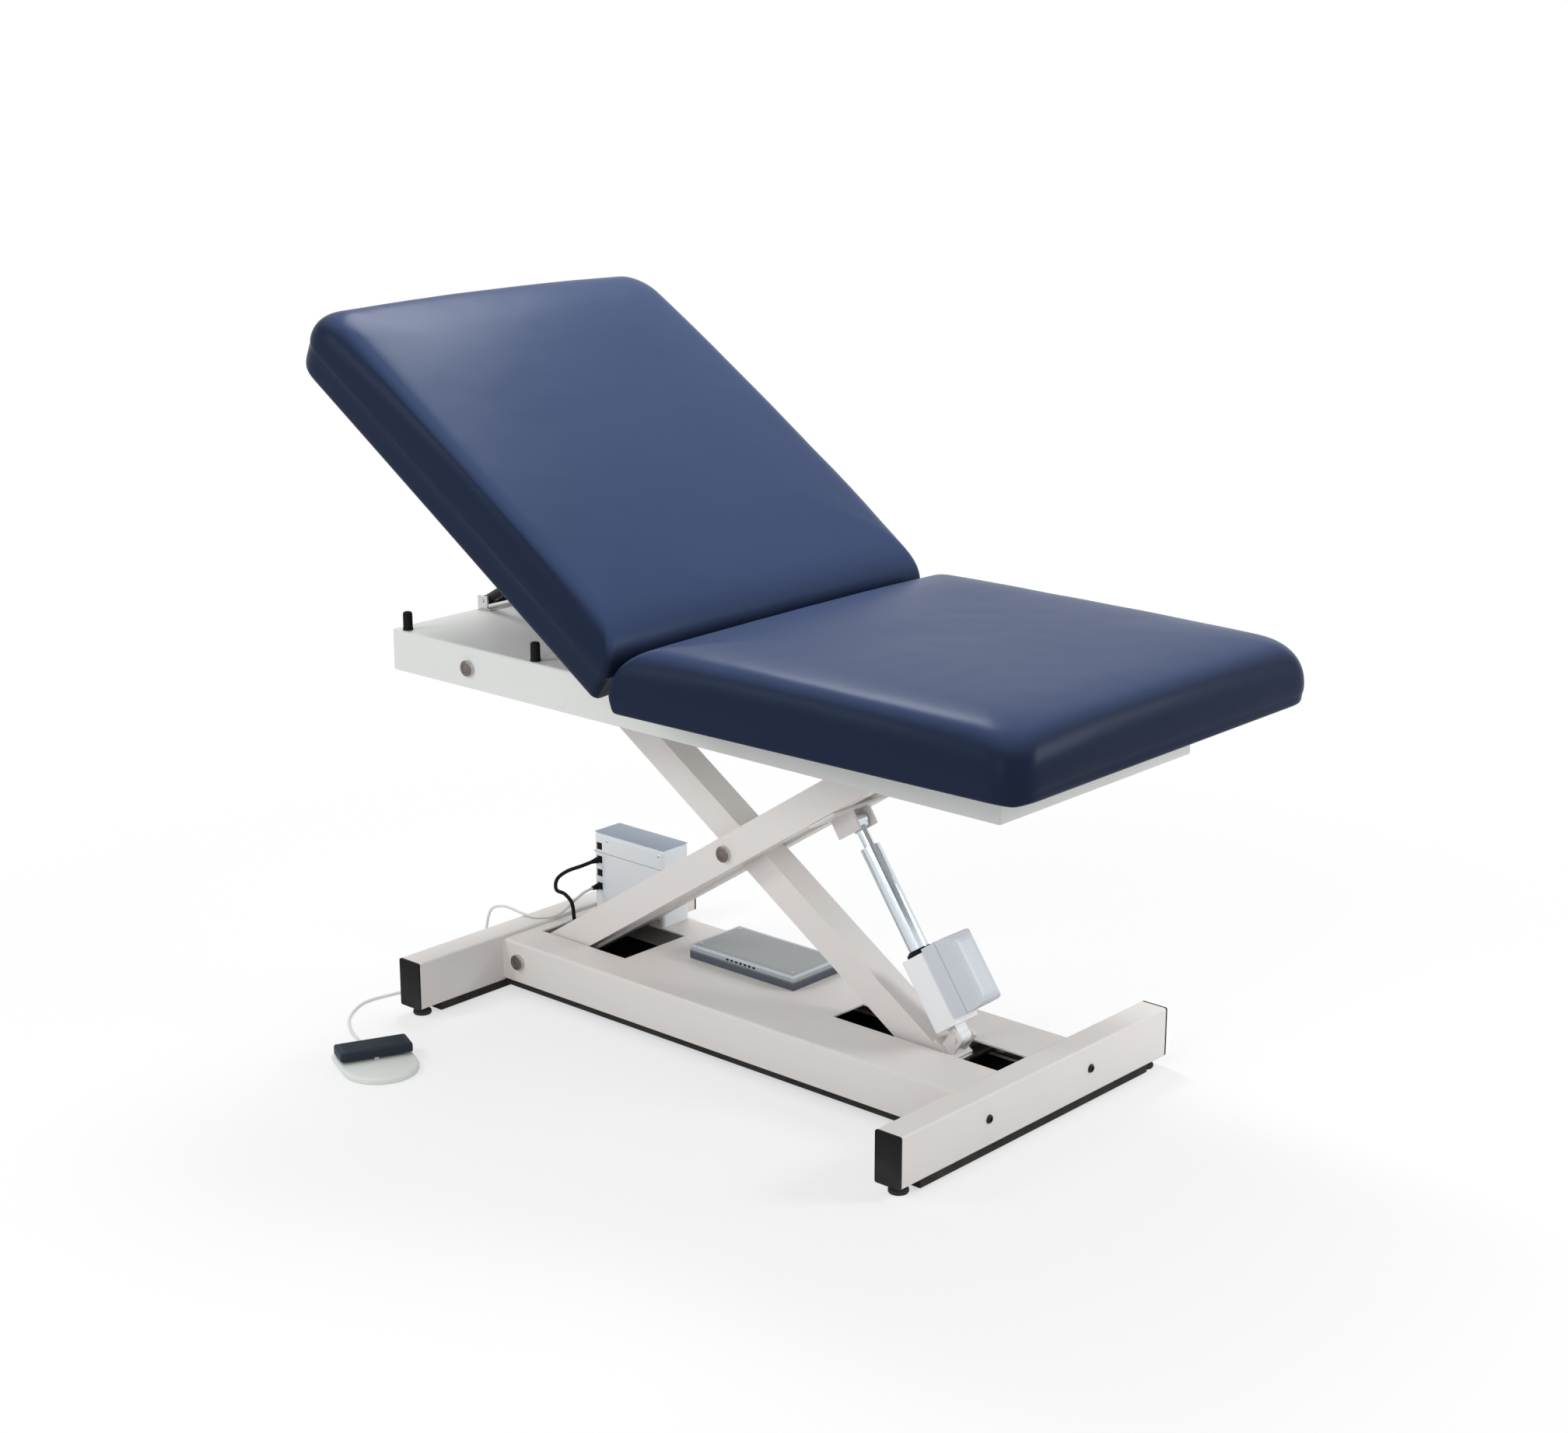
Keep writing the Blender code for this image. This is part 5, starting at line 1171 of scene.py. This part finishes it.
def screw(name, spot, axis, body):
    piece = turned(name, SCREW, spot, axis, body, STEEL, sides=SCREW_SIDES)


def band(name, case, out, bottom, top, radius, paint, segments=3):
    """A block that stands out past the sides of a case, between two heights."""
    low, high = case
    return moulded(name, (low.x - out, low.y - out, bottom), (high.x + out, high.y + out, top), radius,
                   "base", paint, segments)


print("a screw head is", 2 * SCREW[0][0], "m wide")

# %% [markdown]
# ## The control box
# The box has a darker lid plate, a seam below it and four screws. Its sockets are black inserts in
# the recesses of the near side.

# %% Control box
SEAM_OUT = 0.0003
SEAM_ROUND = 0.0002
BOX_SEAM_SHARE = 0.74                       # of the box's height
BOX_SEAM_WIDTH = 0.0016
LID_IN = 0.0020
LID_LEVELS = (-0.0010, 0.0012)              # its two faces, from the top of the box
LID_ROUND = 0.0008
SOCKETS = 4
SOCKET_X = TABLE.x - 0.615
SOCKET_TOP = 0.2546
SOCKET_STEP = 0.030
SOCKET_HALF = 0.0077
SOCKET_DEPTHS = (0.0008, 0.0039)
SOCKET_ROUND = 0.0010
BOX_SCREW_IN = 0.014
SOCKET_SIDE_IN = 0.040                      # the screws beside the sockets keep clear of them
low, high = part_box("control_box")
lid = low.z + BOX_SEAM_SHARE * (high.z - low.z)
band("control_box_seam", (low, high), SEAM_OUT, lid, lid + BOX_SEAM_WIDTH, SEAM_ROUND, UNIT_GREY, 1)
top = band("control_box_lid", (low, high), -LID_IN, high.z + LID_LEVELS[0], high.z + LID_LEVELS[1],
           LID_ROUND, LID_GREY)
for k in range(SOCKETS):
    z = SOCKET_TOP - SOCKET_STEP * k
    insert = moulded(f"socket_insert_{k}",
                     (SOCKET_X - SOCKET_HALF, low.y + SOCKET_DEPTHS[0], z - SOCKET_HALF),
                     (SOCKET_X + SOCKET_HALF, low.y + SOCKET_DEPTHS[1], z + SOCKET_HALF),
                     SOCKET_ROUND, "base", BLACK_PLASTIC)
spots = [(x, z) for z in (high.z - BOX_SCREW_IN, low.z + BOX_SCREW_IN)
         for x in (low.x + SOCKET_SIDE_IN, high.x - BOX_SCREW_IN)]
for k, (x, z) in enumerate(spots):
    screw(f"control_box_screw_{k}", (x, low.y, z), (0, -1, 0), "base")
print("control box dressed, seam at", round(lid, 4), "m")

# %% [markdown]
# ## The power unit
# The flat power unit has a pale rim below its top, which paints the highlight along its upper edge,
# a dark skirt at its foot, which paints the shade on its lower side, a seam between the two and a
# row of vents on the near side.

# %% Power unit
UNIT_SEAM = (0.016, 0.0172)                 # heights over the unit's foot
RIM_OUT = 0.0009
RIM_DEPTHS = (0.0065, 0.0022)               # below the unit's top
RIM_ROUND = 0.0008
FOOT_BAND_OUT = 0.0006
FOOT_BAND_LEVELS = (0.0003, 0.0150)
FOOT_BAND_ROUND = 0.0005
UNIT_SCREW_IN = 0.016
VENTS = 7
VENT_START = 0.10
VENT_STEP = 0.012
VENT_LENGTH = 0.006
VENT_OUT = 0.0002
VENT_IN = 0.001
VENT_LEVELS = (0.0195, 0.0235)
low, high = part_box("power_unit")
band("power_unit_seam", (low, high), SEAM_OUT, low.z + UNIT_SEAM[0], low.z + UNIT_SEAM[1], SEAM_ROUND,
     BLACK_PLASTIC, 1)
# the pale rim band paints the highlight along the unit's upper edge
rim = band("power_unit_painted_highlight", (low, high), RIM_OUT, high.z - RIM_DEPTHS[0], high.z - RIM_DEPTHS[1], RIM_ROUND,
           UNIT_PAINTED_HIGHLIGHT)
# the dark skirt band paints the shade on the unit's lower side
skirt = band("power_unit_painted_shade", (low, high), FOOT_BAND_OUT, low.z + FOOT_BAND_LEVELS[0],
             low.z + FOOT_BAND_LEVELS[1], FOOT_BAND_ROUND, UNIT_PAINTED_SHADE)
spots = [(x, y) for y in (low.y + UNIT_SCREW_IN, high.y - UNIT_SCREW_IN)
         for x in (low.x + UNIT_SCREW_IN, high.x - UNIT_SCREW_IN)]
for k, (x, y) in enumerate(spots):
    screw(f"power_unit_screw_{k}", (x, y, high.z), (0, 0, 1), "base")
for k in range(VENTS):
    x = low.x + VENT_START + VENT_STEP * k
    vent = moulded(f"power_unit_vent_{k}", (x, low.y - VENT_OUT, low.z + VENT_LEVELS[0]),
                   (x + VENT_LENGTH, low.y + VENT_IN, low.z + VENT_LEVELS[1]), SEAM_ROUND, "base",
                   BLACK_PLASTIC, segments=1)
print("power unit dressed with", VENTS, "vents")

# %% [markdown]
# ## The actuator
# The actuator has a wiper collar where the tube leaves the gearbox, a seam round the motor and four
# cover screws. They are placed in the actuator's own frame: along it, across it and to its side.

# %% Actuator
ALONG = Vector((-0.573909, 0.0, 0.818919))  # from the foot of the actuator to its upper end
ASIDE = Vector((-ALONG.z, 0.0, ALONG.x))
ACTUATOR = Matrix((ALONG, (0.0, 1.0, 0.0), ASIDE)).transposed().to_4x4()
ACTUATOR.translation = TABLE + Vector((0.4446, 0.0, 0.1350))
COLLAR = [(0.0204, 0.0), (0.0280, 0.0), (0.0280, 0.0050), (0.0262, 0.0072), (0.0240, 0.0078),
          (0.0228, 0.0100), (0.0206, 0.0108)]
COLLAR_AT = 0.1722
MOTOR_SEAM = ((0.0336, -0.0364, -0.0740), (0.1784, 0.0364, -0.0726))
COVER_FACE = 0.178
COVER_SCREWS = ((-0.026, -0.046), (0.026, -0.046), (-0.026, -0.064), (0.026, -0.064))
collar = turned("actuator_wiper", COLLAR, ACTUATOR @ Vector((COLLAR_AT, 0.0, 0.0)), ALONG, "actuator",
                BLACK_PLASTIC)
moulded("actuator_motor_seam", *MOTOR_SEAM, SEAM_ROUND, "actuator", UNIT_GREY, segments=1, place=ACTUATOR)
for k, (y, z) in enumerate(COVER_SCREWS):
    screw(f"actuator_screw_{k}", ACTUATOR @ Vector((COVER_FACE, y, z)), ALONG, "actuator")
print("actuator dressed with", len(COVER_SCREWS), "screws")

# %% [markdown]
# ## Struts and pedal
# A gas strut's cylinder closes with a rolled collar round its bright rod. The pedal's treadle has
# five low ribs for grip. A collar is turned along its strut, and a rib is a low moulded bar.

# %% Strut collars and treadle ribs
STRUT = Vector((0.863463, 0.0, 0.504412))   # from the foot of a strut to its upper end
STRUT_FOOT = TABLE + Vector((-0.800, 0.0, 0.79049))
STRUT_LANE = 0.037
CYLINDER_END = 0.300
STRUT_COLLAR = [(0.0056, -0.001), (0.0110, -0.001), (0.0112, 0.0010), (0.0106, 0.0035), (0.0080, 0.0058),
                (0.0056, 0.0062)]
RIBS = 5
RIB_START = 0.022
RIB_STEP = 0.0095
RIB_WIDTH = 0.0032
RIB_HALF = 0.062
RIB_LEVELS = (0.0380, 0.0393)
RIB_ROUND = 0.0006
for side, way in (("near", -1), ("far", 1)):
    spot = STRUT_FOOT + STRUT * CYLINDER_END + Vector((0.0, way * STRUT_LANE, 0.0))
    ring = turned(f"strut_collar_{side}", STRUT_COLLAR, spot, STRUT, "strut_cylinders", BLACK_PAINT)
for k in range(RIBS):
    x = RIB_START + RIB_STEP * k
    rib = moulded(f"treadle_rib_{k}", (x, -RIB_HALF, RIB_LEVELS[0]),
                  (x + RIB_WIDTH, RIB_HALF, RIB_LEVELS[1]), RIB_ROUND, "treadle", PEDAL_DARK,
                  segments=2, place=PEDAL)
print("struts and pedal dressed")
